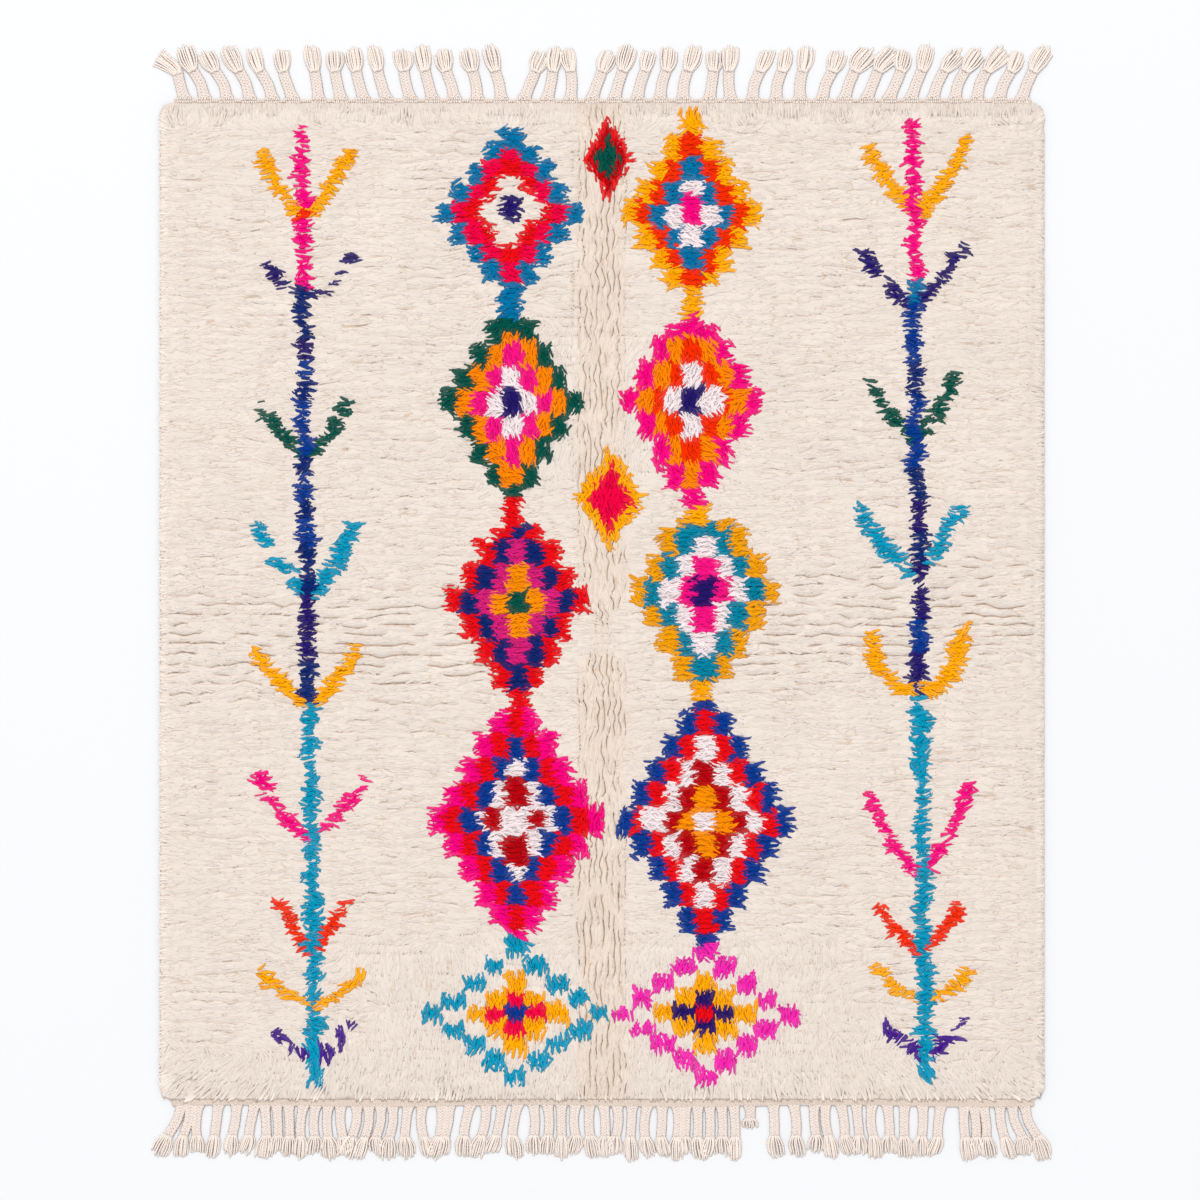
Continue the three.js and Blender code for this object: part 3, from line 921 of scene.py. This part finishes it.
def fleece_points(grid, crease):
    """The fleece's points: the grid, bent along its rows and furrows and sunk in the creases."""
    depth = edge_depth(grid.x, grid.y)
    inside = smooth_step(depth / CALM_EDGE)
    stray = noise_sum(grid.x, grid.row * ROW_FACTOR, ROW_STRAY) * np.where(grid.on_ridge, RIDGE_STRAY, 1.0)
    sideways = 0.5 * (furrow_stray(grid.furrow, grid.y) + furrow_stray(grid.next_furrow, grid.y))
    x = grid.x + (noise_sum(grid.x, grid.y, COLUMN_WAVE) + sideways) * grid.band * inside
    y = grid.y + (noise_sum(grid.x, grid.y, ROW_WAVE) + stray * (1 - grid.band)) * inside
    fall = (CREASE_DEPTH + FURROW_EXTRA_DEPTH * grid.band) * crease * inside
    grain = np.random.default_rng(GRAIN_SEED).normal(0, FLEECE_GRAIN, x.shape)
    z = pile_height(grid.x, grid.y) - fall + grain
    at_edge = 1 - smooth_step(depth / EDGE_FRAY_WIDTH)
    x = x - np.sign(grid.x) * at_edge * (SIDE_DRAWN_IN + noise_sum(grid.x, grid.y, SIDE_FRAY))
    y = y + np.sign(grid.y) * at_edge * (END_PUSHED_OUT + noise_sum(grid.x, grid.y, END_EDGE_FRAY))
    x, y = round_corners(x, y)
    return np.stack([x, y, z], -1).reshape(-1, 3)


def make_fleece(material):
    """The mass of the pile: ridges of wool along the rows, with creases between them."""
    grid = fleece_grid()
    crease = fleece_creases(grid)
    top = fleece_points(grid, crease)
    columns, lines = grid.x.shape
    rim = grid_rim(grid.x.shape)
    at_long_side = np.isin(rim // lines, (0, columns - 1))
    rings = []
    for share, bulge in FLEECE_WALL:
        ring = top[rim] * (1, 1, share)
        ring[:, 0] += np.sign(ring[:, 0]) * bulge * at_long_side
        rings.append(ring)
    vertices, triangles, places = close_sheet(grid.x.shape, top, rings, rings[-1].mean(axis=0))
    colours = fleece_colours(grid, crease).reshape(-1, 3)
    colours = np.concatenate([colours] + [colours[rim]] * len(rings) + [colours[:1]])
    lie = grid.lengthwise.ravel()
    lie = np.concatenate([lie] + [lie[rim]] * len(rings) + [np.zeros(1)])
    fleece = add_mesh("fleece", vertices, triangles, material)
    add_point_colour(fleece, colours, lie)
    add_flat_maps(fleece, vertices, triangles, FIBRE_UNIT, places)
    return fleece


def fleece_colours(grid, crease):
    """Colours of the fleece: the pattern, undyed up to its edges, with painted brown shade in the creases and
    painted light and shade near the field's edges.
    """
    colours = (1 - FLEECE_BLEED) * PALETTE[wool_at(grid.x, grid.y)]
    at_edge = np.zeros(grid.x.shape, dtype=bool)
    for dx, dy in BESIDE:
        near = wool_at(grid.x + dx * FLEECE_BLEED_REACH, grid.y + dy * FLEECE_BLEED_REACH)
        colours = colours + FLEECE_BLEED / len(BESIDE) * PALETTE[near]
        at_edge |= near == 0
    colours[at_edge] = PALETTE[0]
    band = grid.band[..., None]
    # Painted light and shade near the field's edges, with patches of the wool's own tone.
    tone = painted_edge_shading(grid.x, grid.y) + noise_sum(grid.x, grid.y, TONE_PATCHES)
    colours = colours * tone[..., None] * (1 - band * (1 - STRIP_WARMTH) * 0.4)
    # Painted shade darkens the creases and the furrows.
    return colours * (1 - crease[..., None] * (1 - CREASE_PAINTED_SHADE - band * FURROW_SHADE_TINT))


def knot_middle(x, y):
    """The middle of the knot that a wisp at x, y belongs to."""
    row = np.floor(y / KNOT_PITCH)
    shift = 0.5 * (row % 2)
    column = np.floor(x / KNOT_PITCH - shift)
    stray_x = 0.25 * soft_noise(column * 7.7, row * 5.3, 1.0, 43)
    stray_y = 0.25 * soft_noise(column * 6.1, row * 8.9, 1.0, 44)
    return (column + shift + 0.5 + stray_x) * KNOT_PITCH, (row + 0.5 + stray_y) * KNOT_PITCH


def wisp_wool(x, y):
    """The wool's number of a wisp: mostly its knot's."""
    knot_x, knot_y = knot_middle(x, y)
    return wool_at(x + 0.7 * (knot_x - x), y + 0.7 * (knot_y - y))


def wisp_places(rng):
    """Where the wisps lie: few in undyed wool, many in the dyed motifs."""
    places = []
    for spacing, share, end_share, dyed in WISP_SETS:
        xs = np.arange(FIELD_LOW[0], FIELD_HIGH[0] + spacing, spacing)
        ys = np.arange(FIELD_LOW[1], FIELD_HIGH[1] + spacing, spacing)
        x, y = (side.ravel() for side in np.meshgrid(xs, ys, indexing="ij"))
        x = x + rng.uniform(-0.5, 0.5, x.shape) * spacing
        y = y + rng.uniform(-0.5, 0.5, x.shape) * spacing
        x = np.clip(x, FIELD_LOW[0] + 0.004, FIELD_HIGH[0] - 0.004)
        y = np.clip(y, FIELD_LOW[1] + 0.004, FIELD_HIGH[1] - 0.004)
        past_bottom, past_top = past_ends(y)
        near_end = np.maximum(near_edge(past_bottom, *DENSE_BOTTOM), near_edge(past_top, *DENSE_TOP))
        share = share + (end_share - share) * near_end
        keep = rng.uniform(0, 1, x.shape) < np.maximum(share, side_nearness(x))
        keep &= (wisp_wool(x, y) > 0) == dyed
        places.append(np.stack([x[keep], y[keep]], 1))
    return np.concatenate(places)


def by_wool(dyed, pair):
    """For each wisp the first of two values where its wool is undyed, and the second where it is dyed."""
    return np.where(dyed, pair[1], pair[0])


def draw_wisps(rng):
    """Place, wool, direction and sizes of every wisp."""
    places = rng.permutation(wisp_places(rng))
    x, y = places[:, 0], places[:, 1]
    count = len(x)
    wisps = types.SimpleNamespace(x=x, y=y, own=wisp_wool(x, y), band=centre_band(x, y))
    wisps.dyed = wisps.own > 0
    dyed = wisps.dyed
    lie_x, lie_y, wisps.lengthwise = lie_of_pile(x, y)
    knot_x, knot_y = knot_middle(x, y)
    knot_turn = 0.8 * soft_noise(knot_x * 311, knot_y * 173, 1.0, 46) * dyed
    angle = np.arctan2(lie_y, lie_x) + knot_turn + rng.normal(0, by_wool(dyed, WISP_TURN), count)
    wisps.along = np.stack([np.cos(angle), np.sin(angle)], 1)
    wisps.side = np.stack([-wisps.along[:, 1], wisps.along[:, 0]], 1)
    shaggy = SHAGGINESS * near_edge(past_ends(y)[0], *SHAGGY_BOTTOM)
    wisps.length = by_wool(dyed, WISP_LENGTH) * rng.normal(1, 0.14, count) * (1 + shaggy)
    width = by_wool(dyed, WISP_WIDTH) * rng.normal(1, 0.15, count) * (1 + 0.5 * shaggy)
    wisps.width = width * (1 - 0.3 * wisps.band * ~dyed)
    wisps.lift = by_wool(dyed, WISP_LIFT) * rng.uniform(0.1, 1.0, count)
    wisps.bend = rng.normal(0, WISP_BEND, count)
    gather = (knot_x - x) * wisps.side[:, 0] + (knot_y - y) * wisps.side[:, 1]
    wisps.gather = 0.8 * gather * dyed
    reach = END_REACH + noise_sum(x, y, END_REACH_NOISE)
    wisps.end_reach = reach + rng.uniform(*END_REACH_SPREAD, count)
    wisps.side_reach = rng.uniform(*SIDE_REACH_SPREAD, count)
    return wisps


def wisp_middles(wisps):
    """The middles of the wisps: undyed ones in rows and furrows, all drawn in at the bottom end."""
    x, y, dyed = wisps.x, wisps.y, wisps.dyed
    in_rows = into_lanes(y, FIELD_LOW[1], ROW_PITCH, 0.5)
    in_furrows = into_lanes(x, FURROW_START, FURROW_PITCH, 0.4)
    middle_x = np.where(dyed, x, x + (in_furrows - x) * wisps.band)
    off_row = (in_rows - y) * (1 - wisps.lengthwise) * (1 - side_nearness(x))
    middle_y = np.where(dyed, y, y + off_row)
    tip_y = middle_y - 0.5 * wisps.length * np.abs(wisps.along[:, 1])
    return middle_x, middle_y + np.maximum(0, FIELD_LOW[1] - wisps.end_reach - tip_y)


def wisp_paths(wisps):
    """Points along the middle of each wisp, over the fleece and down past its edges."""
    middle_x, middle_y = wisp_middles(wisps)
    along, side = wisps.along, wisps.side
    paths = []
    for share, rise, _ in WISP_STATIONS:
        reach = wisps.length * share
        sideways = wisps.bend * (4 * share * share - 0.5) + wisps.gather * (share + 0.5)
        x = middle_x + along[:, 0] * reach + side[:, 0] * sideways
        y = middle_y + along[:, 1] * reach + side[:, 1] * sideways
        inside = smooth_step(edge_depth(x, y) / CALM_EDGE)
        x, fall_x = drape(x, FIELD_LOW[0], FIELD_HIGH[0], wisps.side_reach, wisps.side_reach)
        lowest = np.where(y < FIELD_LOW[1], LOWEST_ON_BAND, LOWEST)
        y, fall_y = drape(y, FIELD_LOW[1], FIELD_HIGH[1], BOTTOM_OVERHANG, TOP_OVERHANG)
        z = pile_height(x, y) + np.where(rise > 0, wisps.lift, rise) - fall_x - fall_y
        wave_x = noise_sum(x, y, COLUMN_WAVE) * wisps.band
        wave_y = noise_sum(x, y, ROW_WAVE)
        x, y = round_corners(x + wave_x * inside, y + wave_y * inside)
        paths.append(np.stack([x, y, np.maximum(z, lowest)], 1))
    return np.stack(paths, 1)


def wisp_points(wisps):
    """Each wisp's points: its root, a ring of three at each middle station, and its tip."""
    path = wisp_paths(wisps)
    count = len(path)
    level_side = np.append(wisps.side, np.zeros((count, 1)), 1)[:, None]
    up = np.cross(np.gradient(path, axis=1), level_side)
    up = (up / np.linalg.norm(up, axis=-1, keepdims=True))[:, 1:-1]
    middle = path[:, 1:-1]
    scales = np.array([scale for _, _, scale in WISP_STATIONS[1:-1]])
    half = 0.5 * wisps.width[:, None, None] * scales[None, :, None] * level_side
    sunk = up * by_wool(wisps.dyed, WISP_SINK)[:, None, None]
    raised = up * (by_wool(wisps.dyed, WISP_THICKNESS) * wisps.width)[:, None, None]
    rings = np.stack([middle + half - sunk, middle + raised, middle - half - sunk], 2)
    return np.concatenate([path[:, :1], rings.reshape(count, -1, 3), path[:, -1:]], 1)


def make_wisps(material):
    """Single locks of wool that lie along the fleece and make its surface."""
    rng = np.random.default_rng(WISP_SEED)
    wisps = draw_wisps(rng)
    vertices = wisp_points(wisps)
    colours = wisp_colours(wisps.x, wisps.y, wisps.own, rng)
    depth = edge_depth(vertices[:, :, 0], vertices[:, :, 1])
    # Painted light on the wisps' points that lie past the field's edge.
    painted_edge_light = 1 + 0.22 * smooth_step(-depth / 0.002)
    edges = np.linspace(0, len(vertices), WISP_PIECES + 1).astype(int)
    fibre_size = np.array([wisps.width.mean(), wisps.length.mean()]) / FIBRE_UNIT
    pieces = []
    for number in range(WISP_PIECES):
        part = slice(edges[number], edges[number + 1])
        piece = add_tubes(f"wisps_{number + 1}", vertices[part], material, fibre_size, rng)
        # Painted shade along each wisp, and painted light where it lies past the field's edge.
        tones = colours[part][:, None, :] * (WISP_PAINTED_SHADES * painted_edge_light[part])[..., None]
        tones = np.minimum(tones.reshape(-1, 3), BRIGHTEST)
        add_point_colour(piece, tones, np.ones(len(tones)))
        pieces.append(piece)
    return pieces


def wisp_colours(x, y, own, rng):
    """The colour of each wisp: its wool, a little of its neighbours', its own tone, and painted light and
    shade near the edges.
    """
    colours = PALETTE[own]
    around = np.zeros_like(colours)
    for dx, dy in BESIDE:
        around += PALETTE[wool_at(x + dx * WISP_BLEED_REACH, y + dy * WISP_BLEED_REACH)] / len(BESIDE)
    dyed = own > 0
    bleed = by_wool(dyed, WISP_BLEED)[:, None]
    colours = colours * (1 - bleed) + around * bleed
    tone = rng.normal(by_wool(dyed, WISP_TONE), by_wool(dyed, WISP_TONE_SPREAD))
    # Painted light and shade near the field's edges.
    colours = colours * (tone * painted_edge_shading(x, y))[:, None]
    in_strip = centre_band(x, y) * ~dyed
    colours = colours * (1 - in_strip[:, None] * STRIP_WISP_TINT)
    return np.clip(colours, 0, BRIGHTEST)


# Ground cloth


def make_cloth(material):
    """The ground cloth: a thin flat sheet, a little open at its edges, with the knots' backs below."""
    low = FIELD_LOW[:2] + CLOTH_INSETS[0]
    high = FIELD_HIGH[:2] - CLOTH_INSETS[1]
    xs = np.linspace(low[0], high[0], CLOTH_COLUMNS + 1)
    ys = np.linspace(low[1], high[1], ROW_COUNT + 1)
    x, y = round_corners(*np.meshgrid(xs, ys, indexing="ij"))
    below = np.stack([x, y, np.zeros_like(x)], -1).reshape(-1, 3)
    above = below[grid_rim(x.shape)] + (0, 0, CLOTH_THICKNESS)
    vertices, triangles, places = close_sheet(x.shape, below, [above], above.mean(axis=0))
    triangles = triangles[:, ::-1]
    cloth = add_mesh("ground_cloth", vertices, triangles, material)
    colours = 0.9 * PALETTE[wool_at(vertices[:, 0], vertices[:, 1])]
    add_point_colour(cloth, colours, np.zeros(len(vertices)))
    add_flat_maps(cloth, vertices, triangles, CLOTH_FIBRE_UNIT, places[:, ::-1])
    return cloth


# Fringe

# The bands' twined cords: length between points, one twist, height of the grooves below the top,
# and how high the cords and their twists stand over the grooves.
BAND_STEP = 0.0022
CORD_TWIST = 0.0075
GROOVE_DEPTH = 0.0022
CORD_RISE = 0.0010
TWIST_RISE = 0.0012
BAND_BUMPS = ((0.0005, 0.02, 61),)
BAND_EDGE_FRAY = ((0.0007, 0.012, 62),)
# A plait's strands: their middle height, how far they go over and under, their thickness, how far
# they run into the band and into the tuft, and how much wider the plait is at its root.
PLAIT_MIDDLE = 0.0022
PLAIT_CROSSING = 0.0013
STRAND_THICKNESS = 0.0021
PLAIT_OVERLAPS = (0.004, 0.003)
ROOT_WIDENING = 0.5
ROOT_LENGTH = 0.005
# A tuft: the share of its length where it is widest, how much it narrows after that, how its width
# varies, and how much shorter its sides are.
TUFT_SWELL_END = 0.62
TUFT_NARROWING = 0.09
TUFT_WIDTHS = (0.74, 1.04)
TUFT_ROUNDING = 0.07
# Its strings: their thickness, how far they start inside the plait, the lowest one's height, the
# rise of the second layer and of the plait's end, and how heights and ends vary. The last number
# slants the cut of a swept tuft.
STRING_THICKNESS = 0.0013
STRING_OVERLAP = 0.004
STRING_LOWEST = 0.0004
STRING_RISE = 0.0018
STRING_HEIGHT_SPREAD = 0.0006
STRING_END_SPREAD = 0.0025
STRING_SIDE_SPREAD = 0.06
SWEEP_SLANT = 25
# Stitches at the roots, in two rows, and between them along the edge, in one. Reach is half their
# length, lean how far they slant, and low the height of their ends.
STITCH_SIZE = (0.0032, 0.0011)
STITCH_RISE = 0.0010
ROOT_STITCH = {"half_row": 0.0125, "lean": 0.0014, "reach": 0.0030, "in": 0.0055, "low": 0.0056}
ROOT_ROW_PITCH = 0.0052
ROOT_ROW_DROP = 0.0012
EDGE_STITCH = {"pitch": 0.0036, "lean": 0.0009, "reach": 0.0023, "in": 0.0043, "low": 0.0050}
EDGE_STITCH_GAP = 0.0140


def list_braids(bunches):
    """Root, lean and share of the reach of each braid of one end."""
    braids = []
    for count, first, spacing, lean_first, lean_last, reach_share in bunches:
        for i in range(count):
            share = i / (count - 1) if count > 1 else 0
            lean = lean_first + (lean_last - lean_first) * share
            braids.append((first + spacing * i, lean, reach_share))
    return np.array(braids)


def band_width(band, x):
    """Width of a band at x."""
    return band["width"] + band["wave"] * np.sin(2 * math.pi * x / band["wave_length"])


def band_sections(band, inner_y, outward):
    """Sections of a band from end to end: rows of twined cords above, and both lower edges."""
    xs = np.arange(-band["half_length"], band["half_length"] + BAND_STEP, BAND_STEP)
    shares = np.linspace(0, 1, 1 + 2 * band["cords"])
    gx, share = np.meshgrid(xs, shares, indexing="ij")
    cord = np.floor(share * band["cords"] * 0.999)
    ridge = np.abs(np.sin(math.pi * share * band["cords"]))
    ridge = np.where(share < 0.5 / band["cords"], 1.0, ridge)
    slant = np.where(cord % 2 == 0, 1.0, -1.0)
    turns = gx / CORD_TWIST + 0.4 * slant * share * band["cords"]
    twist = 0.5 + 0.5 * np.sin(2 * math.pi * turns + cord)
    z = band["height"] - GROOVE_DEPTH + ridge * (CORD_RISE + TWIST_RISE * twist)
    z = z + noise_sum(gx, share, BAND_BUMPS)
    y = inner_y + outward * band_width(band, gx) * share
    y = y + outward * noise_sum(gx, share * 0, BAND_EDGE_FRAY) * share
    top = np.stack([gx, y, z], -1)
    flat = (1, 1, 0)
    return np.concatenate([top[:, :1] * flat, top, top[:, -1:] * flat], 1)


def bar_faces(count, around):
    """Triangles of a closed bar from its sections, and each corner's place on the bake map."""
    index = np.arange(count * around).reshape(count, around)
    quads = quads_between(index, np.roll(index, -1, axis=1))
    fan = np.arange(1, around - 1)
    start_cap = np.stack([np.zeros_like(fan), fan, fan + 1], -1)
    end_cap = index[-1, 0] + start_cap[:, ::-1]
    i, k = (side.ravel() for side in np.meshgrid(np.arange(count - 1), np.arange(around), indexing="ij"))
    places = []
    for u, v in ((0, 0), (1, 0), (1, 1), (0, 1)):
        places.append(np.stack([(i + u) / (count - 1), 0.9 * (k + v) / around], -1))
    cap_places = strip_places(((0.1, 0.93), (0.9, 0.93), (0.5, 0.98)), 2 * len(fan))
    triangles = np.concatenate([split_quads(quads), start_cap, end_cap])
    return triangles, np.concatenate([split_quads(np.stack(places, 1)), cap_places])


def make_band(name, band, inner_y, outward, material):
    """The woven strip that the braids hang from, closed below."""
    sections = band_sections(band, inner_y, outward)
    triangles, places = bar_faces(*sections.shape[:2])
    if outward < 0:
        triangles = triangles[:, ::-1]
        places = places[:, ::-1]
    vertices = sections.reshape(-1, 3)
    piece = add_mesh(name, vertices, triangles, material)
    add_flat_maps(piece, vertices, triangles, YARN_UNIT, places)
    return piece


def lean_share(share):
    """Share of its lean that a braid has at a share of its reach."""
    return np.interp(share, LEAN_TABLE[0], LEAN_TABLE[1])


def braid_points(root_x, root_y, lean, reach, outward, out, lateral, height):
    """Places beside the middle line of a braid, from how far out, how far beside and how high they are."""
    share = out / reach
    bow = BRAID_BOW * math.sin(root_x * 311.0) * np.sin(math.pi * np.clip(share / BOW_END, 0, 1))
    cx = root_x + lean * lean_share(share) + bow
    ahead = lean * (lean_share(share + 0.02) - lean_share(share - 0.02)) / 0.04
    slope = ahead / reach
    scale = 1 / np.sqrt(1 + slope * slope)
    return np.stack([cx + lateral * scale, root_y + outward * (out - lateral * slope * scale), height], -1)


def add_section(middle, left, width, thick):
    """Left, top and right points of a strand's sections, from its middle points and left directions."""
    up = np.array([0, 0, 1.0])
    return np.stack([middle + left * width / 2, middle + up * thick, middle - left * width / 2], -2)


def left_of(middle):
    """The direction to the left of a path, level, seen from above."""
    ahead = np.gradient(middle, axis=-2)
    left = np.stack([-ahead[..., 1], ahead[..., 0], np.zeros(ahead.shape[:-1])], -1)
    return left / np.linalg.norm(left, axis=-1, keepdims=True)


def as_tube(middle, left, width, thick):
    """Points of a tube: its start, the rings between and its end."""
    rings = add_section(middle, left, width, thick)[..., 1:-1, :, :]
    lift = (0, 0, TIP_LIFT * thick)
    flat = rings.reshape(rings.shape[:-3] + (-1, 3))
    return np.concatenate([middle[..., :1, :] + lift, flat, middle[..., -1:, :] + lift], -2)


def plait_strand(braid, style, outward, number):
    """One strand of a flat plait: it crosses to and fro, over one strand and under the next."""
    root_x, root_y, lean, reach, share = braid
    neck = style["neck"] * share
    out = np.linspace(-PLAIT_OVERLAPS[0], neck + PLAIT_OVERLAPS[1], 32)
    turn = out / style["period"] + number / PLAIT_STRANDS
    swing = np.sin(2 * math.pi * turn)
    across = np.clip(2.2 * np.cos(2 * math.pi * turn), -1, 1)
    over = across * np.cos(2 * math.pi * PLAIT_STRANDS * (out / style["period"] - 0.25))
    spread = 1 + ROOT_WIDENING * np.exp(-np.maximum(out, 0) / ROOT_LENGTH)
    lateral = swing * style["half_width"] * spread
    height = PLAIT_MIDDLE + PLAIT_CROSSING * over
    middle = braid_points(root_x, root_y, lean, reach, outward, out, lateral, height)
    return as_tube(middle, left_of(middle), style["strand"], STRAND_THICKNESS)


def slant_stitch(x, y, lean, reach, low, outward):
    """One short stitch: a small arched tube that leans sideways along its length."""
    steps = np.linspace(-1, 1, 4)
    height = low + STITCH_RISE * (1 - steps * steps)
    middle = np.stack([x + lean * steps, y + outward * reach * steps, height], -1)
    return as_tube(middle, left_of(middle), *STITCH_SIZE)


def root_stitches(braid, style, outward, rng):
    """Short slanting stitches that bind the root of a braid to its band, in two rows."""
    root_x, root_y = braid[:2]
    size = ROOT_STITCH
    stitches = []
    for row in range(2):
        low = size["low"] - ROOT_ROW_DROP * row
        lean = size["lean"] if row else -size["lean"]
        for i in range(style["stitches"]):
            place = (i + 0.5) / style["stitches"] * 2 - 1
            x = root_x + place * size["half_row"] + rng.normal(0, 0.0004)
            y = root_y + outward * (ROOT_ROW_PITCH * row - size["in"])
            stitches.append(slant_stitch(x, y, lean, size["reach"], low, outward))
    return stitches


def edge_stitches(roots, band, inner_y, outward, rng):
    """One row of smaller stitches along a band, between the roots of its braids."""
    size = EDGE_STITCH
    xs = np.arange(0.004 - band["half_length"], band["half_length"] - 0.003, size["pitch"])
    xs = xs[np.abs(xs[:, None] - roots).min(axis=1) > EDGE_STITCH_GAP]
    stitches = []
    for x in xs + rng.normal(0, 0.0003, len(xs)):
        y = inner_y + outward * (band_width(band, x) - size["in"])
        stitches.append(slant_stitch(x, y, size["lean"], size["reach"], size["low"], outward))
    return stitches


def tuft_strings(braid, style, outward, sweep, rng):
    """The loose ends of one braid: cut strings that spread in two layers."""
    root_x, root_y, lean, reach, share = braid
    start = style["neck"] * share - STRING_OVERLAP
    strings = []
    skew = rng.uniform(-1, 1) * style["skew"] + sweep
    half_width = style["tuft_half_width"] * rng.uniform(*TUFT_WIDTHS)
    t = np.array(STRING_STATIONS)
    swell = np.sin(np.pi * 0.5 * np.minimum(t / TUFT_SWELL_END, 1)) ** 1.2
    swell = swell - TUFT_NARROWING * np.maximum(t - TUFT_SWELL_END, 0) / (1 - TUFT_SWELL_END)
    for layer, count in enumerate(style["strings"]):
        for i in range(count):
            place = (i + 0.5 + 0.5 * layer) / style["strings"][0] * 2 - 1
            end = reach * (1 - TUFT_ROUNDING * place * place) + rng.normal(0, STRING_END_SPREAD)
            out = start + (end - start) * t - SWEEP_SLANT * sweep * place * half_width * t
            start_side = place * style["half_width"]
            end_side = (place + rng.normal(0, STRING_SIDE_SPREAD)) * half_width
            lateral = start_side + (end_side - start_side) * swell + skew * t ** 1.5
            height = STRING_LOWEST + STRING_RISE * layer * (1 - 0.3 * t) + STRING_RISE * (1 - t)
            height = height + rng.uniform(0, STRING_HEIGHT_SPREAD)
            middle = braid_points(root_x, root_y, lean, reach, outward, out, lateral, height)
            strings.append(as_tube(middle, left_of(middle), style["string"], STRING_THICKNESS))
    return strings


def make_braids(name, style, bunches, band, inner_y, outward, plait_yarn, tuft_yarn):
    """All the braids of one end with their tufts."""
    rng = np.random.default_rng(FRINGE_SEED + outward)
    plaits = []
    strings = []
    stitches = []
    for i, (x, lean, share) in enumerate(list_braids(bunches)):
        root_y = inner_y + outward * band_width(band, x)
        reach = (style["reach"] + REACH_UNEVENNESS * math.sin(2.4 * i)) * share
        braid = (x, root_y, lean, reach, share)
        plaits += [plait_strand(braid, style, outward, number) for number in range(PLAIT_STRANDS)]
        strings += tuft_strings(braid, style, outward, style["swept"].get(i, 0), rng)
        stitches += root_stitches(braid, style, outward, rng)
    plait = add_tubes("plaits_" + name, np.array(plaits), plait_yarn, (1.0, PLAIT_YARN / YARN_UNIT), rng)
    tuft = add_tubes("tufts_" + name, np.array(strings), tuft_yarn, (1.0, TUFT_YARN / YARN_UNIT), rng)
    if not stitches:
        return [plait, tuft]
    stitches += edge_stitches(list_braids(bunches)[:, 0], band, inner_y, outward, rng)
    stitch = add_tubes("stitches_" + name, np.array(stitches), tuft_yarn, (1.0, STITCH_YARN / YARN_UNIT), rng)
    return [plait, tuft, stitch]


# Scene

CAMERA_HEIGHT = 7.0
# The camera's lens is set for this height, a little under the top of the pile.
FOCUS_HEIGHT = 0.015
FLOOR_COLOUR = (0.80, 0.80, 0.812, 1)
ROOM_COLOUR = (0.98, 0.99, 1.0, 1)
ROOM_LIGHT = 0.864
KEY_LIGHT = {"place": (-5.5, 14.5, 23.5), "target": (0, 0, 0), "size": 10.0, "power": 3545}


def add_camera():
    """A long lens straight above the rug, framed as the photograph."""
    data = bpy.data.cameras.new("camera")
    data.sensor_width = 36
    data.lens = data.sensor_width * CAMERA_HEIGHT / (PHOTO_SIZE * METRES_PER_PIXEL)
    camera = bpy.data.objects.new("camera", data)
    x, y = from_photo(PHOTO_SIZE / 2, PHOTO_SIZE / 2)
    camera.location = (x, y, CAMERA_HEIGHT + FOCUS_HEIGHT)
    bpy.context.scene.collection.objects.link(camera)
    bpy.context.scene.camera = camera


def add_area_light(name, place, target, size, power):
    """A square soft light that points at a place."""
    data = bpy.data.lights.new(name, "AREA")
    data.size = size
    data.energy = power
    light = bpy.data.objects.new(name, data)
    light.location = place
    away = bpy.data.objects.new(name + "_aim", None)
    away.location = target
    for thing in (light, away):
        bpy.context.scene.collection.objects.link(thing)
    track = light.constraints.new("TRACK_TO")
    track.target = away
    track.track_axis = "TRACK_NEGATIVE_Z"
    track.up_axis = "UP_Y"


def add_studio():
    """A pale floor, a bright room and one soft light from the top end's side."""
    bpy.ops.mesh.primitive_plane_add(size=40, location=(0, 0, 0))
    floor = bpy.context.active_object
    floor.name = "floor"
    material, tree, shader = new_material("studio_floor")
    set_inputs(tree, shader, {"Base Color": FLOOR_COLOUR, "Roughness": 0.9})
    floor.data.materials.append(material)
    world = bpy.data.worlds.new("room")
    world.use_nodes = True
    background = world.node_tree.nodes["Background"]
    set_inputs(world.node_tree, background, {"Color": ROOM_COLOUR, "Strength": ROOM_LIGHT})
    bpy.context.scene.world = world
    add_area_light("key", **KEY_LIGHT)
    bpy.context.scene.view_settings.view_transform = "Standard"


add_camera()
add_studio()
wool = make_wool("wool_locks", 2.6, False)
cloth = make_cloth(wool)
pile = [make_fleece(make_wool("wool_fleece", 1.0, True)), *make_wisps(wool)]

top_y = FIELD_HIGH[1] - BAND_TUCK
bottom_y = FIELD_LOW[1] + BAND_TUCK
plait_yarn = make_yarn("cotton_plaits", PLAIT_BEIGE)
# A lighter copy of the plaits' cotton for the tufts and stitches, painted light against their shade.
tuft_yarn = make_yarn("cotton_tufts", TUFT_BEIGE)
band_yarn = make_yarn("cotton_band", BAND_BEIGE)
top_band = make_band("band_top", TOP_BAND, top_y, 1, band_yarn)
bottom_band = make_band("band_bottom", BOTTOM_BAND, bottom_y, -1, band_yarn)
top_braids = make_braids("top", TOP_BRAID, TOP_BUNCHES, TOP_BAND, top_y, 1, plait_yarn, tuft_yarn)
bottom_braids = make_braids(
    "bottom", BOTTOM_BRAID, BOTTOM_BUNCHES, BOTTOM_BAND, bottom_y, -1, plait_yarn, tuft_yarn
)
fringe = [top_band, bottom_band, *top_braids, *bottom_braids]

for piece in [cloth, *pile]:
    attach(piece, "root")
for piece in fringe:
    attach(piece, "root")
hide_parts("rug_pile")
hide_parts("fringe_top")
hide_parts("fringe_bottom")
